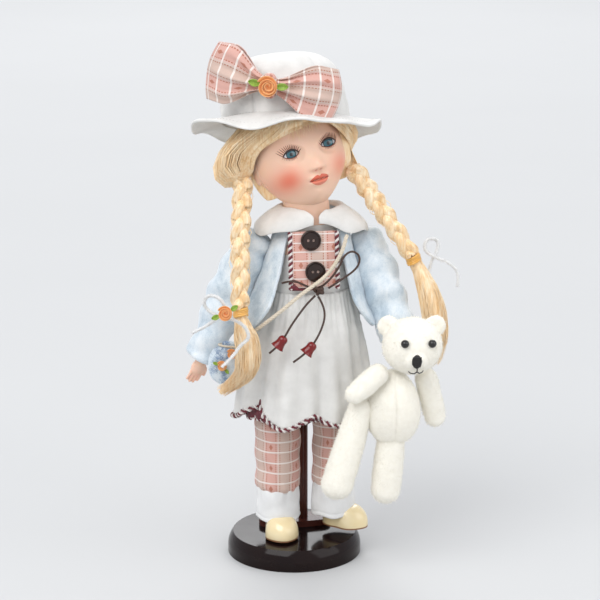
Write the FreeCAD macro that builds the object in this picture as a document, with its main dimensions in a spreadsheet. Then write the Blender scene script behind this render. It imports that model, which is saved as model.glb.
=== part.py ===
# Porcelain doll with a teddy bear, on a round lacquered stand.
#
# The doll faces -Y and stands along +Z, in millimetres.  The origin is the middle of the
# stand's flat underside.  The doll's own right hand is on the -X side.
import FreeCAD, Part
import math
import os
from FreeCAD import Placement, Rotation, Vector

doc = FreeCAD.newDocument("porcelain_doll")
X, Y, Z = Vector(1, 0, 0), Vector(0, 1, 0), Vector(0, 0, 1)

# ---------------------------------------------------------------- driving dimensions
SIZES = {
    # stand: turned base, plinth, post, and the steel rod with its spring clip
    "base_radius": 42.0, "base_top_radius": 38.7, "base_height": 13.0, "base_wall": 4.0,
    "plinth_length": 46.0, "plinth_depth": 16.0, "plinth_height": 4.0,
    "post_radius": 3.0, "post_top": 100.0, "post_socket": 5.0, "post_bore_bottom": 42.0,
    "rod_radius": 1.5, "rod_bottom": 48.0, "clip_level": 160.0, "clip_wire": 1.2,
    "clip_half_width": 24.0, "clip_reach": 31.0, "clip_bend": 12.0, "rod_play": 0.05,
    "screw_head_radius": 3.0, "screw_head_height": 2.2, "screw_radius": 1.25,
    "screw_length": 22.0, "screw_recess": 0.6,
    # porcelain head, with its shell, neck, shoulder plate, crown opening and glass eyes
    "head_wide": 28.0, "head_deep": 29.0, "head_tall": 33.0, "shell": 3.0, "eye_radius": 5.2,
    "neck_radius": 14.0, "neck_height": 30.0, "plate_wide": 21.0, "plate_deep": 15.0,
    "plate_tall": 15.0, "crown_level": 17.0, "hair_depth": 3.5, "hair_hem": 24.0,
    "face_wide": 42.0, "fringe_level": 14.0, "face_back": 9.0,
    # clothes
    "cloth": 1.2, "collar_wide": 34.0, "collar_deep": 23.5,
    "placket_width": 26.0, "placket_length": 34.0, "placket_thick": 1.2, "trim_radius": 1.5,
    "button_radius": 6.2, "button_thick": 3.0, "button_dish": 0.9, "button_rim": 1.4,
    "thread_hole": 0.8, "thread_gap": 1.6, "button_pitch": 19.0,
    "button_drop": 5.0, "button_step": 2.4, "button_offset": 1.8,
    # hat
    "crown_radius": 38.0, "crown_height": 47.0, "hat_cloth": 1.4, "brim_wide": 57.0,
    "brim_deep": 49.0, "brim_drop": 7.0, "bow_loop_length": 24.0, "bow_loop_height": 19.0,
    "bow_loop_depth": 7.0, "rose_radius": 5.5,
    # hair and its bands
    "braid_radius": 6.0, "tail_radius": 7.5, "band_radius": 5.5,
    # arms and legs
    "shoulder_radius": 11.0, "arm_radius": 7.5, "forearm_radius": 5.2, "leg_radius": 9.0,
    "shin_radius": 7.0, "trouser_radius": 14.0, "cuff_radius": 13.4, "hip_level": 116.0,
    "knee_level": 70.0, "cuff_length": 20.5,
    "shoe_length": 29.0, "shoe_wide": 8.5, "shoe_height": 11.0,
    # bear
    "bear_head": 18.2, "bear_ear": 7.0, "bear_wide": 17.0, "bear_deep": 13.5,
    "bear_tall": 24.0, "bear_eye": 2.5, "bear_arm": 7.0, "bear_thigh": 6.5,
    # cords and what hangs on them
    "tie_radius": 0.65, "strap_radius": 1.25, "chenille_radius": 1.2, "bell_radius": 4.3,
    "bell_height": 8.0, "bag_wide": 11.0, "bag_deep": 4.5, "bag_tall": 14.0,
    # what is left free between pieces that move past each other
    "gap": 0.5,
}

sheet = doc.addObject("Spreadsheet::Sheet", "Sizes")
for row, (alias, value) in enumerate(SIZES.items(), start=1):
    sheet.set(f"A{row}", alias)
    sheet.set(f"B{row}", str(value))
    sheet.setAlias(f"B{row}", alias)
doc.recompute()


def size(alias):
    """One driving dimension, in millimetres."""
    return float(sheet.get(alias))


# ---------------------------------------------------------------- places on the doll
POST = Vector(7.3, 12.1, 0)
BODY_X, BODY_Y = 8.0, -7.5
HEAD = Placement(Vector(3, -2, 256), Rotation(Z, 14) * Rotation(X, -12) * Rotation(Y, -14))
HAT = Placement(Vector(-4, 1, 268), Rotation(Y, -5) * Rotation(X, -14))
RIGHT_SHOULDER, LEFT_SHOULDER = Vector(-27, -1, 197), Vector(46, -1, 196)
RIGHT_WRIST, LEFT_WRIST = Vector(-57, 2, 127.5), Vector(63, -19, 142)
RIGHT_HIP, LEFT_HIP = Vector(-10.8, -3.6, size("hip_level")), Vector(24.3, -3.6, size("hip_level"))
RIGHT_HAIR = Vector(-32.5, -10.6, 241.4)
LEFT_HAIR = Vector(42, -9.5, 235.5)
BEAR_HEAD, BEAR_BODY = Vector(64.3, -52.5, 146), Vector(54, -47, 106)
BEAR_EARS = [Vector(50.5, -47, 157), Vector(79, -48.5, 156.5)]
BEAR_SNOUT = Vector(64, -66.5, 140.5)
BEAR_EYES = [Vector(56.8, -68.6, 151.6), Vector(73.4, -68.2, 151)]
GLASS_EYES = [Vector(-6.8, -21.6, 258.6), Vector(16.4, -19.6, 263.4)]
BOW_KNOT, HAT_ROSE = Vector(-19.6, -31.5, 301.8), Vector(-21.5, -43, 305.3)
LEFT_LOOP = Placement(Vector(-39, -24, 307.5), Rotation(Z, -24) * Rotation(X, -12) * Rotation(Y, 8))
RIGHT_LOOP = Placement(Vector(-0.5, -38.5, 297.8), Rotation(X, -12) * Rotation(Y, -8))
PLACKET_TOP, PLACKET_LEAN = Vector(8.4, -22.6, 210.9), Rotation(X, -8)
COLLAR_NOTCH = Vector(7.6, -20, 221.5)
BAG = Placement(Vector(-44.5, -20, 130), Rotation(Y, 8))
PLATE_LEVEL, WAIST_LEVEL, HEM_LEVEL, FACING_TOP, TROUSER_TOP = 196, 172, 94, 103, 104

# ---------------------------------------------------------------- outlines
# Each ring of a lofted piece is (level, centre x, centre y, half width, half depth).
TORSO_RINGS = [
    (108, BODY_X, BODY_Y, 15, 10), (120, BODY_X, BODY_Y, 21.5, 13), (140, BODY_X, BODY_Y, 21.5, 13.5),
    (160, BODY_X, BODY_Y, 20, 13), (182, BODY_X, BODY_Y, 20.5, 13.5), (PLATE_LEVEL, BODY_X, BODY_Y, 18, 11.5)]
BODICE_RINGS = [(WAIST_LEVEL, 8.5, -5.5, 25.2, 19.5), (190, 8.3, -6, 23, 17.6), (207, 8.3, -6.6, 18, 13.4)]
JACKET_RINGS = [(151, 8, -5.4, 36.5, 31), (WAIST_LEVEL, 8.5, -5.5, 30.2, 26.5), (190, 9.2, -5.5, 26, 22.5),
                (206, 9.6, -5, 22.5, 16.5)]
JACKET_LINING = [(148, 8, -5.4, 35.2, 29.7), (WAIST_LEVEL, 8.5, -5.5, 28.6, 25), (190, 9.2, -5.5, 24.6, 20.9),
                 (208, 9.6, -5, 20.8, 14.6)]
COLLAR_RINGS = [(211.5, 10, -4, size("collar_wide"), size("collar_deep")), (216.5, 10, -3.6, 28, 21.5),
                (223, 10, -3.4, 19, 17)]
COLLAR_LINING = [(209, 10, -4, size("collar_wide"), size("collar_deep")), (215, 10, -3.6, 27, 20.2),
                 (224, 10, -3.4, 15.4, 15.2)]
HEM_RINGS = [(HEM_LEVEL - 2.5, 4, -5, 42.2, 32.7), (HEM_LEVEL, 4, -5, 42, 32.5)]
HEM_ROOM = [(HEM_LEVEL - 3, 4, -5, 40.2, 30.7), (HEM_LEVEL + 1, 4, -5, 40, 30.5)]
FACING_RINGS = [(HEM_LEVEL, 4, -5, 40.0, 30.5), (FACING_TOP, 4.5, -5.1, 39.2, 30.2)]
FACING_ROOM = [(HEM_LEVEL - 1, 4, -5, 39.1, 29.6), (FACING_TOP + 1, 4.5, -5.1, 38.2, 29.2)]

nodes = {}


# ---------------------------------------------------------------- ways of making a piece
def bind(obj, expressions):
    """Ties an object's properties to cells or sums of cells of the sheet."""
    for name, expression in expressions.items():
        obj.setExpression(name, expression)
    return obj


def make(kind, name, expressions, place=Placement()):
    """A Part primitive with bound sizes, at its place."""
    obj = bind(doc.addObject(kind, name), expressions)
    obj.Placement = place if isinstance(place, Placement) else Placement(place, Rotation())
    return obj


def keep(obj, label):
    """Makes an object one of the doll's pieces, under its own name."""
    obj.Label = label
    nodes[label] = obj
    return obj


def ellipsoid(name, wide, deep, tall, place):
    return make("Part::Ellipsoid", name, {"Radius1": tall, "Radius2": wide, "Radius3": deep}, place)


def boolean(kind, name, base, tool):
    obj = doc.addObject(kind, name)
    obj.Base, obj.Tool = base, tool
    return obj


def cut(name, base, *tools):
    """The base with each tool taken away in turn."""
    for index, tool in enumerate(tools):
        base = boolean("Part::Cut", name if index == len(tools) - 1 else f"{name}_step", base, tool)
    return base


def fuse(name, *shapes):
    obj = doc.addObject("Part::MultiFuse", name)
    obj.Shapes = list(shapes)
    return obj


def group(name, *shapes):
    """Separate solids that share one node, such as a pair of identical buttons."""
    obj = doc.addObject("Part::Compound", name)
    obj.Links = list(shapes)
    return obj


def loft(name, sections, inset=0.0):
    """A solid through ellipses, each given as (level, centre x, centre y, half width, half depth)."""
    rings = []
    for level, across, along, wide, deep in sections:
        ring = doc.addObject("Part::Ellipse", f"{name}_ring")
        ring.MajorRadius = max(wide, deep) - inset
        ring.MinorRadius = min(wide, deep) - inset
        turn = 0 if wide >= deep else 90
        ring.Placement = Placement(Vector(across, along, level), Rotation(Z, turn))
        rings.append(ring)
    solid = doc.addObject("Part::Loft", name)
    solid.Sections, solid.Solid = rings, True
    return solid


def slab(name, low, high):
    """A plain box between two corners, used to trim other shapes."""
    box = doc.addObject("Part::Box", name)
    box.Length, box.Width, box.Height = high.x - low.x, high.y - low.y, high.z - low.z
    box.Placement = Placement(low, Rotation())
    return box


def direction(start, end):
    """The turn that points +Z from start to end."""
    return Rotation(Z, end - start)


def tube_path(points, report=None):
    """A wire of straight runs joined by tangent arcs, each as large as its two runs allow."""
    edges, radii, start = [], [], points[0]
    for before, corner, after in zip(points, points[1:], points[2:]):
        run_in, run_out = corner - before, after - corner
        into, out = Vector(run_in).normalize(), Vector(run_out).normalize()
        turn = math.acos(max(-1.0, min(1.0, into.dot(out))))
        cutback = 0.45 * min(run_in.Length, run_out.Length)
        radius = cutback / math.tan(turn / 2)
        first, last = corner - into * cutback, corner + out * cutback
        inward = Vector(out - into).normalize()
        middle = corner + inward * (radius / math.cos(turn / 2) - radius)
        edges += [Part.LineSegment(start, first).toShape(), Part.Arc(first, middle, last).toShape()]
        radii.append(round(radius, 1))
        start = last
    edges.append(Part.LineSegment(start, points[-1]).toShape())
    if report:
        print(report, "radii", radii)
    return Part.Wire(edges)


def tube(name, points, radius, report=False):
    """A round tube of one thickness along a route."""
    path = tube_path(points, name if report else None)
    profile = Part.Wire([Part.Circle(points[0], points[1] - points[0], radius).toShape()])
    shell = Part.BRepOffsetAPI.MakePipeShell(path)
    shell.add(profile)
    shell.build()
    shell.makeSolid()
    solid = shell.shape()
    expected = math.pi * radius ** 2 * path.Length
    if abs(solid.Volume - expected) > 0.02 * expected:
        raise ValueError(f"{name} has {solid.Volume:.1f} mm3, not {expected:.1f}")
    if report:
        print(name, "length", round(path.Length, 1))
    obj = doc.addObject("Part::Feature", name)
    obj.Shape = solid
    obj.Placement = Placement()
    return obj


def sketch_on(body, plane, name):
    """A sketch on one of the body's own origin planes."""
    face = next(item for item in body.Origin.OriginFeatures if item.Role == plane)
    drawing = body.newObject("Sketcher::SketchObject", name)
    drawing.AttachmentSupport = [(face, "")]
    drawing.MapMode = "FlatFace"
    return drawing


def draw(drawing, outline):
    """Closed outline of (x, y) corners; a corner given with a third value is an arc's middle."""
    points = [Vector(corner[0], corner[1], 0) for corner in outline]
    index = 0
    while index < len(points):
        start = points[index]
        middle_next = len(outline[(index + 1) % len(outline)]) == 3
        if middle_next:
            arc_end = points[(index + 2) % len(points)]
            drawing.addGeometry(Part.Arc(start, points[index + 1], arc_end))
        else:
            drawing.addGeometry(Part.LineSegment(start, points[(index + 1) % len(points)]))
        index += 2 if middle_next else 1


def turned(name, outline, place):
    """A PartDesign body turned about its own Z axis from an outline in radius and height."""
    body = doc.addObject("PartDesign::Body", name)
    drawing = sketch_on(body, "XZ_Plane", f"{name}_outline")
    draw(drawing, outline)
    turn = body.newObject("PartDesign::Revolution", f"{name}_turned")
    turn.Profile = drawing
    turn.ReferenceAxis = (drawing, ["V_Axis"])
    turn.Angle = 360
    body.Placement = place if isinstance(place, Placement) else Placement(place, Rotation())
    return body


def bored(body, radius, depth, places, plane="XY_Plane", level=0.0, upward=True):
    """Round pockets in a body, from a level of its own frame."""
    drawing = sketch_on(body, plane, "bore_outline")
    drawing.AttachmentOffset = Placement(Vector(0, 0, level), Rotation())
    for across, along in places:
        drawing.addGeometry(Part.Circle(Vector(across, along, 0), Z, radius))
    pocket = body.newObject("PartDesign::Pocket", "bore")
    pocket.Profile = drawing
    pocket.Length = depth
    pocket.Reversed = upward
    return pocket


# ---------------------------------------------------------------- stand
def build_stand():
    """Turned base with its post socket, the plinth, the post and the screw from below."""
    radius, top, height = size("base_radius"), size("base_top_radius"), size("base_height")
    wall = size("base_wall")
    base = turned("stand_base", [
        (0, 0), (radius, 0), (radius, wall), (radius - 0.6, wall + 4.2, 0), (top, height),
        (0, height)], Vector())
    spot = [(POST.x, POST.y)]
    recess = size("screw_head_height") + size("screw_recess")
    bored(base, size("screw_head_radius"), recess, spot)
    bored(base, size("screw_radius"), height, spot)
    bored(base, size("post_radius"), height, spot, level=height - size("post_socket"))
    keep(base, "stand_base")

    length, depth, tall = size("plinth_length"), size("plinth_depth"), size("plinth_height")
    plinth = doc.addObject("PartDesign::Body", "plinth")
    drawing = sketch_on(plinth, "XY_Plane", "plinth_outline")
    half, back = length / 2, depth / 2
    draw(drawing, [(-half + back, -back), (0, -back - 1.5, 0), (half - back, -back), (half, 0, 0),
                   (half - back, back), (-half + back, back), (-half, 0, 0)])
    pad = plinth.newObject("PartDesign::Pad", "plinth_pad")
    pad.Profile = drawing
    bind(pad, {"Length": "Sizes.plinth_height"})
    plinth.Placement = Placement(Vector(2, POST.y, height), Rotation())
    bored(plinth, size("post_radius"), tall, [(POST.x - 2, 0)])
    keep(plinth, "stand_plinth")

    foot = height - size("post_socket")
    bore = size("rod_radius") + size("rod_play")
    pilot = size("screw_length") + size("screw_recess") - foot
    post = turned("post", [
        (size("screw_radius"), foot), (size("post_radius"), foot), (size("post_radius"), size("post_top")),
        (bore, size("post_top")), (bore, size("post_bore_bottom")), (0, size("post_bore_bottom")),
        (0, foot + pilot), (size("screw_radius"), foot + pilot)], Vector(POST.x, POST.y, 0))
    keep(post, "stand_post")

    under = size("screw_recess")
    shoulder = under + size("screw_head_height")
    end = under + size("screw_length")
    screw = turned("screw", [
        (0, under), (size("screw_head_radius"), under), (size("screw_head_radius"), shoulder),
        (size("screw_radius"), shoulder), (size("screw_radius"), end), (0, end)],
        Vector(POST.x, POST.y, 0))
    keep(screw, "post_screw")


def build_clip():
    """Steel rod that slides in the post, and the spring wire that holds the doll's waist."""
    level, wire = size("clip_level"), size("clip_wire")
    rod = make("Part::Cylinder", "rod", {
        "Radius": "Sizes.rod_radius",
        "Height": "Sizes.clip_level - Sizes.clip_wire - Sizes.rod_bottom"},
        Vector(POST.x, POST.y, size("rod_bottom")))
    keep(rod, "clip_rod")
    half, reach, bend = size("clip_half_width"), size("clip_reach"), size("clip_bend")
    side = [(half - 7, reach), (half, reach - 10), (half, bend), (half - bend, 0)]
    left = [Vector(POST.x - out, POST.y - forward, level) for out, forward in side]
    right = [Vector(POST.x + out, POST.y - forward, level) for out, forward in reversed(side)]
    keep(tube("clip_wire", left + right, wire), "waist_clip")


# ---------------------------------------------------------------- body and head
def build_body():
    """Stuffed cloth torso under the porcelain shoulder plate."""
    return keep(loft("torso", TORSO_RINGS), "torso")


def build_head():
    """Hollow porcelain head, neck and shoulder plate in one, with its pate, eyes and wig."""
    wall = "Sizes.shell"
    skull = ellipsoid("skull", "Sizes.head_wide", "Sizes.head_deep", "Sizes.head_tall", HEAD)
    hollow = ellipsoid("skull_hollow", f"Sizes.head_wide - {wall}", f"Sizes.head_deep - {wall}",
                       f"Sizes.head_tall - {wall}", HEAD)
    neck_foot = Vector(BODY_X + 1.5, BODY_Y + 2.5, 200)
    lean = direction(neck_foot, HEAD.Base)
    neck = make("Part::Cylinder", "neck", {"Radius": "Sizes.neck_radius", "Height": "Sizes.neck_height"},
                Placement(neck_foot, lean))
    throat = make("Part::Cylinder", "throat", {
        "Radius": f"Sizes.neck_radius - {wall}", "Height": "Sizes.neck_height + 10"},
        Placement(neck_foot - Vector(0, 0, 5), lean))
    plate_middle = Vector(BODY_X, BODY_Y, PLATE_LEVEL)
    dome = ellipsoid("plate_dome", "Sizes.plate_wide", "Sizes.plate_deep", "Sizes.plate_tall", plate_middle)
    inside = ellipsoid("plate_inside", f"Sizes.plate_wide - {wall}", f"Sizes.plate_deep - {wall}",
                       f"Sizes.plate_tall - {wall}", plate_middle)
    below = slab("below_plate", Vector(-60, -60, 150), Vector(80, 60, PLATE_LEVEL))
    crown = make("Part::Box", "above_crown", {}, HEAD)
    crown.Length, crown.Width, crown.Height = 100, 100, 60
    crown.Placement = HEAD * Placement(Vector(-50, -50, size("crown_level")), Rotation())
    solid = cut("head_hollowed", fuse("head_outside", skull, neck, dome), hollow, throat, inside, below, crown)
    eyes = [make("Part::Sphere", "eye", {"Radius": "Sizes.eye_radius"}, spot) for spot in GLASS_EYES]
    head = cut("head_with_sockets", solid, *eyes)
    keep(head, "shoulder_head")
    keep(group("eye_pair", *[make("Part::Sphere", "glass_eye", {"Radius": "Sizes.eye_radius"}, spot)
                             for spot in GLASS_EYES]), "glass_eyes")

    cap = boolean("Part::Common", "pate_cap", skull, crown)
    keep(cut("pate", cap, hollow), "crown_pate")

    hair = ellipsoid("hair", "Sizes.head_wide + Sizes.hair_depth", "Sizes.head_deep + Sizes.hair_depth",
                     "Sizes.head_tall + Sizes.hair_depth", HEAD)
    face = slab("face_window", Vector(), Vector(size("face_wide"), 60, 80))
    face.Placement = HEAD * Placement(
        Vector(-size("face_wide") / 2, -60 - size("face_back"), size("fringe_level") - 80), Rotation())
    nape = slab("nape", Vector(), Vector(120, 120, 60))
    nape.Placement = HEAD * Placement(Vector(-60, -60, -size("hair_hem") - 60), Rotation())
    keep(cut("wig_shell", hair, skull, neck, face, nape), "wig")
    return head


# ---------------------------------------------------------------- dress
def skirt_rings(extra=0.0):
    """Outside of the skirt, from the hem up to the waist."""
    return [(HEM_LEVEL, 4, -5, 42 + extra, 32.5 + extra), (120, 5.5, -5.2, 39 + extra, 30.5 + extra),
            (150, 7.4, -5.4, 32.5 + extra, 26 + extra), (WAIST_LEVEL, 8.5, -5.5, 26 + extra, 21.5 + extra)]


def build_dress(torso, head):
    """Bodice, skirt with its corded hem and facing, placket with trims, and the buttons."""
    keep(cut("bodice", loft("bodice_outside", BODICE_RINGS), torso, head), "dress_bodice")

    outside = loft("skirt_outside", skirt_rings())
    hollow_rings = [(90, 4, -5, 41.3, 31.8)] + skirt_rings(-size("cloth"))[1:3] + [(169, 8.5, -5.5, 25.4, 20.9)]
    inside = loft("skirt_inside", hollow_rings)
    keep(cut("skirt_shell", outside, inside, torso), "skirt")

    keep(cut("hem_ring", loft("hem_outside", HEM_RINGS), loft("hem_inside", HEM_ROOM)), "hem_trim")
    band, room = loft("facing_outside", FACING_RINGS), loft("facing_inside", FACING_ROOM)
    keep(cut("facing_ring", band, room), "hem_facing")

    front_place = Placement(PLACKET_TOP, PLACKET_LEAN)
    place = front_place * Placement(
        Vector(-size("placket_width") / 2, -size("placket_thick"), -size("placket_length")), Rotation())
    front = make("Part::Box", "placket_strip", {
        "Length": "Sizes.placket_width", "Width": "Sizes.placket_thick", "Height": "Sizes.placket_length"},
        place)
    keep(cut("placket_fitted", front, nodes["dress_bodice"], head), "placket")

    trims = []
    for side in (-1, 1):
        middle = side * (size("placket_width") / 2 + size("trim_radius") + 0.05)
        spot = front_place * Placement(Vector(middle, -0.6, -size("placket_length")), Rotation())
        trims.append(make("Part::Cylinder", "trim", {
            "Radius": "Sizes.trim_radius", "Height": "Sizes.placket_length"}, spot))
    both = group("trim_pair", *trims)
    keep(cut("trims_fitted", both, nodes["dress_bodice"], head), "placket_trims")

    buttons = []
    rim, dish, thick = size("button_rim"), size("button_dish"), size("button_thick")
    outer = size("button_radius")
    for index in range(2):
        drop = size("button_drop") + index * size("button_pitch")
        across = index * size("button_step") - size("button_offset")
        spot = front_place * Placement(Vector(across, -size("placket_thick"), -drop), Rotation(X, 90))
        button = turned("button", [
            (0, 0), (outer, 0), (outer, thick - 0.8), (outer - 0.25, thick - 0.2, 0),
            (outer - 0.8, thick), (outer - rim, thick - dish), (0, thick - dish)], spot)
        gap = size("thread_gap")
        bored(button, size("thread_hole"), thick, [(-gap, 0), (gap, 0)])
        buttons.append(button)
    keep(group("button_pair", *buttons), "buttons")


def build_collar(head):
    """Soft round collar that lies on the shoulders, open in a V at the throat."""
    outer, inner = loft("collar_outside", COLLAR_RINGS), loft("collar_inside", COLLAR_LINING)
    notch = slab("notch", Vector(), Vector(30, 30, 30))
    notch.Placement = Placement(COLLAR_NOTCH, Rotation(Y, 45)) * Placement(
        Vector(-30, -15, -30), Rotation())
    keep(cut("collar_fitted", outer, inner, head, notch), "collar")


def build_jacket():
    """Short velour jacket without its sleeves: a back, and two fronts with rounded edges."""
    outer, inner = loft("jacket_outside", JACKET_RINGS), loft("jacket_inside", JACKET_LINING)
    opening = slab("front_opening", Vector(-12.5, -60, 140), Vector(29.5, -8, 230))
    keep(cut("jacket_shell", outer, inner, opening), "jacket")


# ---------------------------------------------------------------- hat
def crown_rings(extra=0.0):
    """Outside of the hat's crown in its own frame: upright sides and a rounded top."""
    radius, height = size("crown_radius"), size("crown_height")
    steps = [(0, 1), (0.42, 0.98), (0.74, 0.87), (0.93, 0.6), (1, 0.2)]
    return [(height * up + extra * up, 0, 0, radius * out + extra, radius * out + extra) for up, out in steps]


def build_hat():
    """Gored cloth crown with its brim, the big bow and the ribbon rose."""
    cloth = size("hat_cloth")
    dome = loft("dome", crown_rings())
    under = loft("dome_under", [(-1, 0, 0, *[size("crown_radius") - cloth] * 2)] + crown_rings(-cloth)[1:])
    crown = cut("crown_shell", dome, under)
    crown.Placement = HAT
    keep(crown, "hat_crown")

    radius, wide, deep = size("crown_radius"), size("brim_wide"), size("brim_deep")
    drop = size("brim_drop")
    top = loft("brim_outside", [(-drop, 0, 0, wide, deep), (0, 0, 0, radius, radius - 0.1)])
    under_brim = loft("brim_under", [(-drop - cloth, 0, 0, wide, deep), (-cloth, 0, 0, radius, radius - 0.1)])
    hole = make("Part::Cylinder", "brim_hole", {
        "Radius": "Sizes.crown_radius - Sizes.hat_cloth", "Height": "40"}, Vector(0, 0, -20))
    brim = cut("brim_ring", top, under_brim, hole)
    brim.Placement = HAT
    keep(brim, "hat_brim")

    left = ellipsoid("left_loop", "Sizes.bow_loop_length - 3", "Sizes.bow_loop_depth", "Sizes.bow_loop_height",
                     LEFT_LOOP)
    right = ellipsoid("right_loop", "Sizes.bow_loop_length - 2", "Sizes.bow_loop_depth",
                      "Sizes.bow_loop_height - 3", RIGHT_LOOP)
    middle = make("Part::Sphere", "bow_knot", {"Radius": "Sizes.bow_loop_depth"}, BOW_KNOT)
    room = make("Part::Cylinder", "crown_room", {
        "Radius": "Sizes.crown_radius + Sizes.gap", "Height": "Sizes.crown_height * 2"}, HAT)
    brim_room = slab("brim_room", Vector(), Vector(160, 160, 40))
    brim_room.Placement = HAT * Placement(Vector(-80, -80, -40 + size("gap")), Rotation())
    keep(cut("bow_fitted", fuse("bow_loops", left, right, middle), room, brim_room), "hat_bow")
    keep(make("Part::Sphere", "rose", {"Radius": "Sizes.rose_radius"}, HAT_ROSE), "hat_rose")


# ---------------------------------------------------------------- hair
RIGHT_BRAID_ROUTE = [RIGHT_HAIR, Vector(-34, -17, 226), Vector(-36, -24.5, 208), Vector(-36.5, -29, 188),
                     Vector(-37.4, -33.1, 168)]
RIGHT_TAIL_ROUTE = [Vector(-37.2, -34, 160), Vector(-32, -37.5, 146), Vector(-34, -38.5, 130),
                    Vector(-46, -36, 118)]
LEFT_BRAID_ROUTE = [LEFT_HAIR, Vector(47.5, -12, 227.5), Vector(54.1, -14, 217.7), Vector(62, -16.5, 206),
                    Vector(69.8, -18, 193.5)]
LEFT_TAIL_ROUTE = [Vector(73.3, -18.4, 186), Vector(80.5, -19.5, 170), Vector(85, -20, 152),
                   Vector(86.5, -19, 131)]


def build_hair():
    """Two braids, the rubber bands round them, the loose tails below, and the ribbon rose."""
    routes = {"right": (RIGHT_BRAID_ROUTE, RIGHT_TAIL_ROUTE), "left": (LEFT_BRAID_ROUTE, LEFT_TAIL_ROUTE)}
    for side, (braid, tail) in routes.items():
        keep(tube(f"{side}_plait", braid, size("braid_radius")), f"{side}_braid")
        middle = (braid[-1] + tail[0]) / 2
        band = make("Part::Cylinder", "band", {"Radius": "Sizes.band_radius"},
                    Placement(braid[-1], direction(braid[-1], tail[0])))
        band.Height = (tail[0] - braid[-1]).Length
        keep(band, f"{side}_band")
        keep(tube(f"{side}_loose", tail, size("tail_radius")), f"{side}_tail")
    keep(make("Part::Sphere", "braid_rose", {"Radius": "Sizes.rose_radius - 1"},
              Vector(-48, -51.5, 169.4)), "braid_rose")


# ---------------------------------------------------------------- arms and legs
def arm(side, shoulder, wrist, reach, bulge, cuff, hand):
    """Cloth upper arm, porcelain forearm and hand, and the wide sleeve over them."""
    place = Placement(shoulder, direction(shoulder, wrist))
    length = (wrist - shoulder).Length
    shoulder_radius = size("shoulder_radius")
    bell = loft(f"{side}_bell", [
        (0, 0, 0, shoulder_radius, shoulder_radius), (length * 0.45, 0, 0, bulge, bulge),
        (length, 0, 0, cuff, cuff)])
    bell.Placement = place
    cap = make("Part::Sphere", f"{side}_cap", {"Radius": "Sizes.shoulder_radius"}, shoulder)
    bore = make("Part::Cylinder", f"{side}_bore", {"Radius": "Sizes.arm_radius + Sizes.gap"}, place)
    bore.Height = length + 10
    keep(cut(f"{side}_sleeve_shell", fuse(f"{side}_sleeve_outside", bell, cap), bore), f"{side}_sleeve")
    elbow = length * 0.55
    upper = make("Part::Cylinder", f"{side}_stuffed", {"Radius": "Sizes.arm_radius"}, place)
    upper.Height = elbow
    keep(upper, f"{side}_upper_arm")
    fore = make("Part::Cone", f"{side}_fore", {"Radius1": "Sizes.forearm_radius"},
                place * Placement(Vector(0, 0, elbow), Rotation()))
    fore.Radius2, fore.Height = size("forearm_radius") - 1.4, reach - elbow
    palm = ellipsoid(f"{side}_palm", f"{hand[0]}", f"{hand[1]}", f"{hand[2]}",
                     place * Placement(Vector(0, 0, reach + hand[2] * 0.6), Rotation()))
    keep(fuse(f"{side}_fore_hand", fore, palm), f"{side}_forearm")


def leg(side, hip, ankle_level, toe_turn, trouser_radius, cuff_top):
    """Stuffed thigh, porcelain shin with its shoe, and the trouser leg with its white cuff."""
    foot = Vector(hip.x, hip.y, ankle_level)
    knee = size("knee_level")
    thigh = make("Part::Cylinder", f"{side}_stuffing", {"Radius": "Sizes.leg_radius"},
                 Vector(hip.x, hip.y, knee))
    thigh.Height = TROUSER_TOP - knee
    keep(thigh, f"{side}_thigh")
    shin = make("Part::Cone", f"{side}_calf", {"Radius1": "Sizes.shin_radius - 1.2", "Radius2": "Sizes.shin_radius"},
                foot + Vector(0, 0, size("shoe_height") / 2))
    shin.Height = knee - ankle_level - size("shoe_height") / 2
    half = size("shoe_length") / 2
    last = loft(f"{side}_last", [
        (0, 0, 0, size("shoe_wide") - 0.8, half - 0.6), (3, 0, 0, size("shoe_wide"), half),
        (size("shoe_height") * 0.75, 0, 2, size("shoe_wide") - 1.2, half - 3),
        (size("shoe_height"), 0, 5, size("shoe_wide") - 3, half - 8)])
    last.Placement = Placement(foot, Rotation(Z, toe_turn)) * Placement(Vector(0, 6.2 - half, 0), Rotation())
    keep(fuse(f"{side}_shin_shoe", shin, last), f"{side}_shin")
    room = make("Part::Cylinder", f"{side}_leg_room", {"Radius": "Sizes.leg_radius + 0.3"},
                Vector(hip.x, hip.y, 0))
    room.Height = 150
    cloth = make("Part::Cylinder", f"{side}_plaid", {}, Vector(hip.x, hip.y, cuff_top))
    cloth.Radius, cloth.Height = trouser_radius, TROUSER_TOP - cuff_top
    keep(cut(f"{side}_trouser_leg", cloth, room), f"{side}_trouser")
    cuff_foot = cuff_top - size("cuff_length")
    white = make("Part::Cylinder", f"{side}_white", {"Radius": "Sizes.cuff_radius"},
                 Vector(hip.x, hip.y, cuff_foot))
    white.Height = cuff_top - cuff_foot
    cuff_room = make("Part::Cylinder", f"{side}_cuff_room", {"Radius": "Sizes.leg_radius + 1.6"},
                     Vector(hip.x, hip.y, 0))
    cuff_room.Height = 150
    keep(cut(f"{side}_white_cuff", white, cuff_room, nodes[f"{side}_shin"]), f"{side}_cuff")


# ---------------------------------------------------------------- bear
def sausage(name, top, end, radius_top, radius_end):
    """A stuffed limb: a rounded end at each end of a cone."""
    length = (end - top).Length
    cone = make("Part::Cone", f"{name}_cone", {}, Placement(top, direction(top, end)))
    cone.Radius1, cone.Radius2, cone.Height = radius_top, radius_end, length
    upper = make("Part::Sphere", f"{name}_upper", {}, top)
    lower = make("Part::Sphere", f"{name}_lower", {}, end)
    upper.Radius, lower.Radius = radius_top, radius_end
    return fuse(f"{name}_limb", cone, upper, lower)


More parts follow.
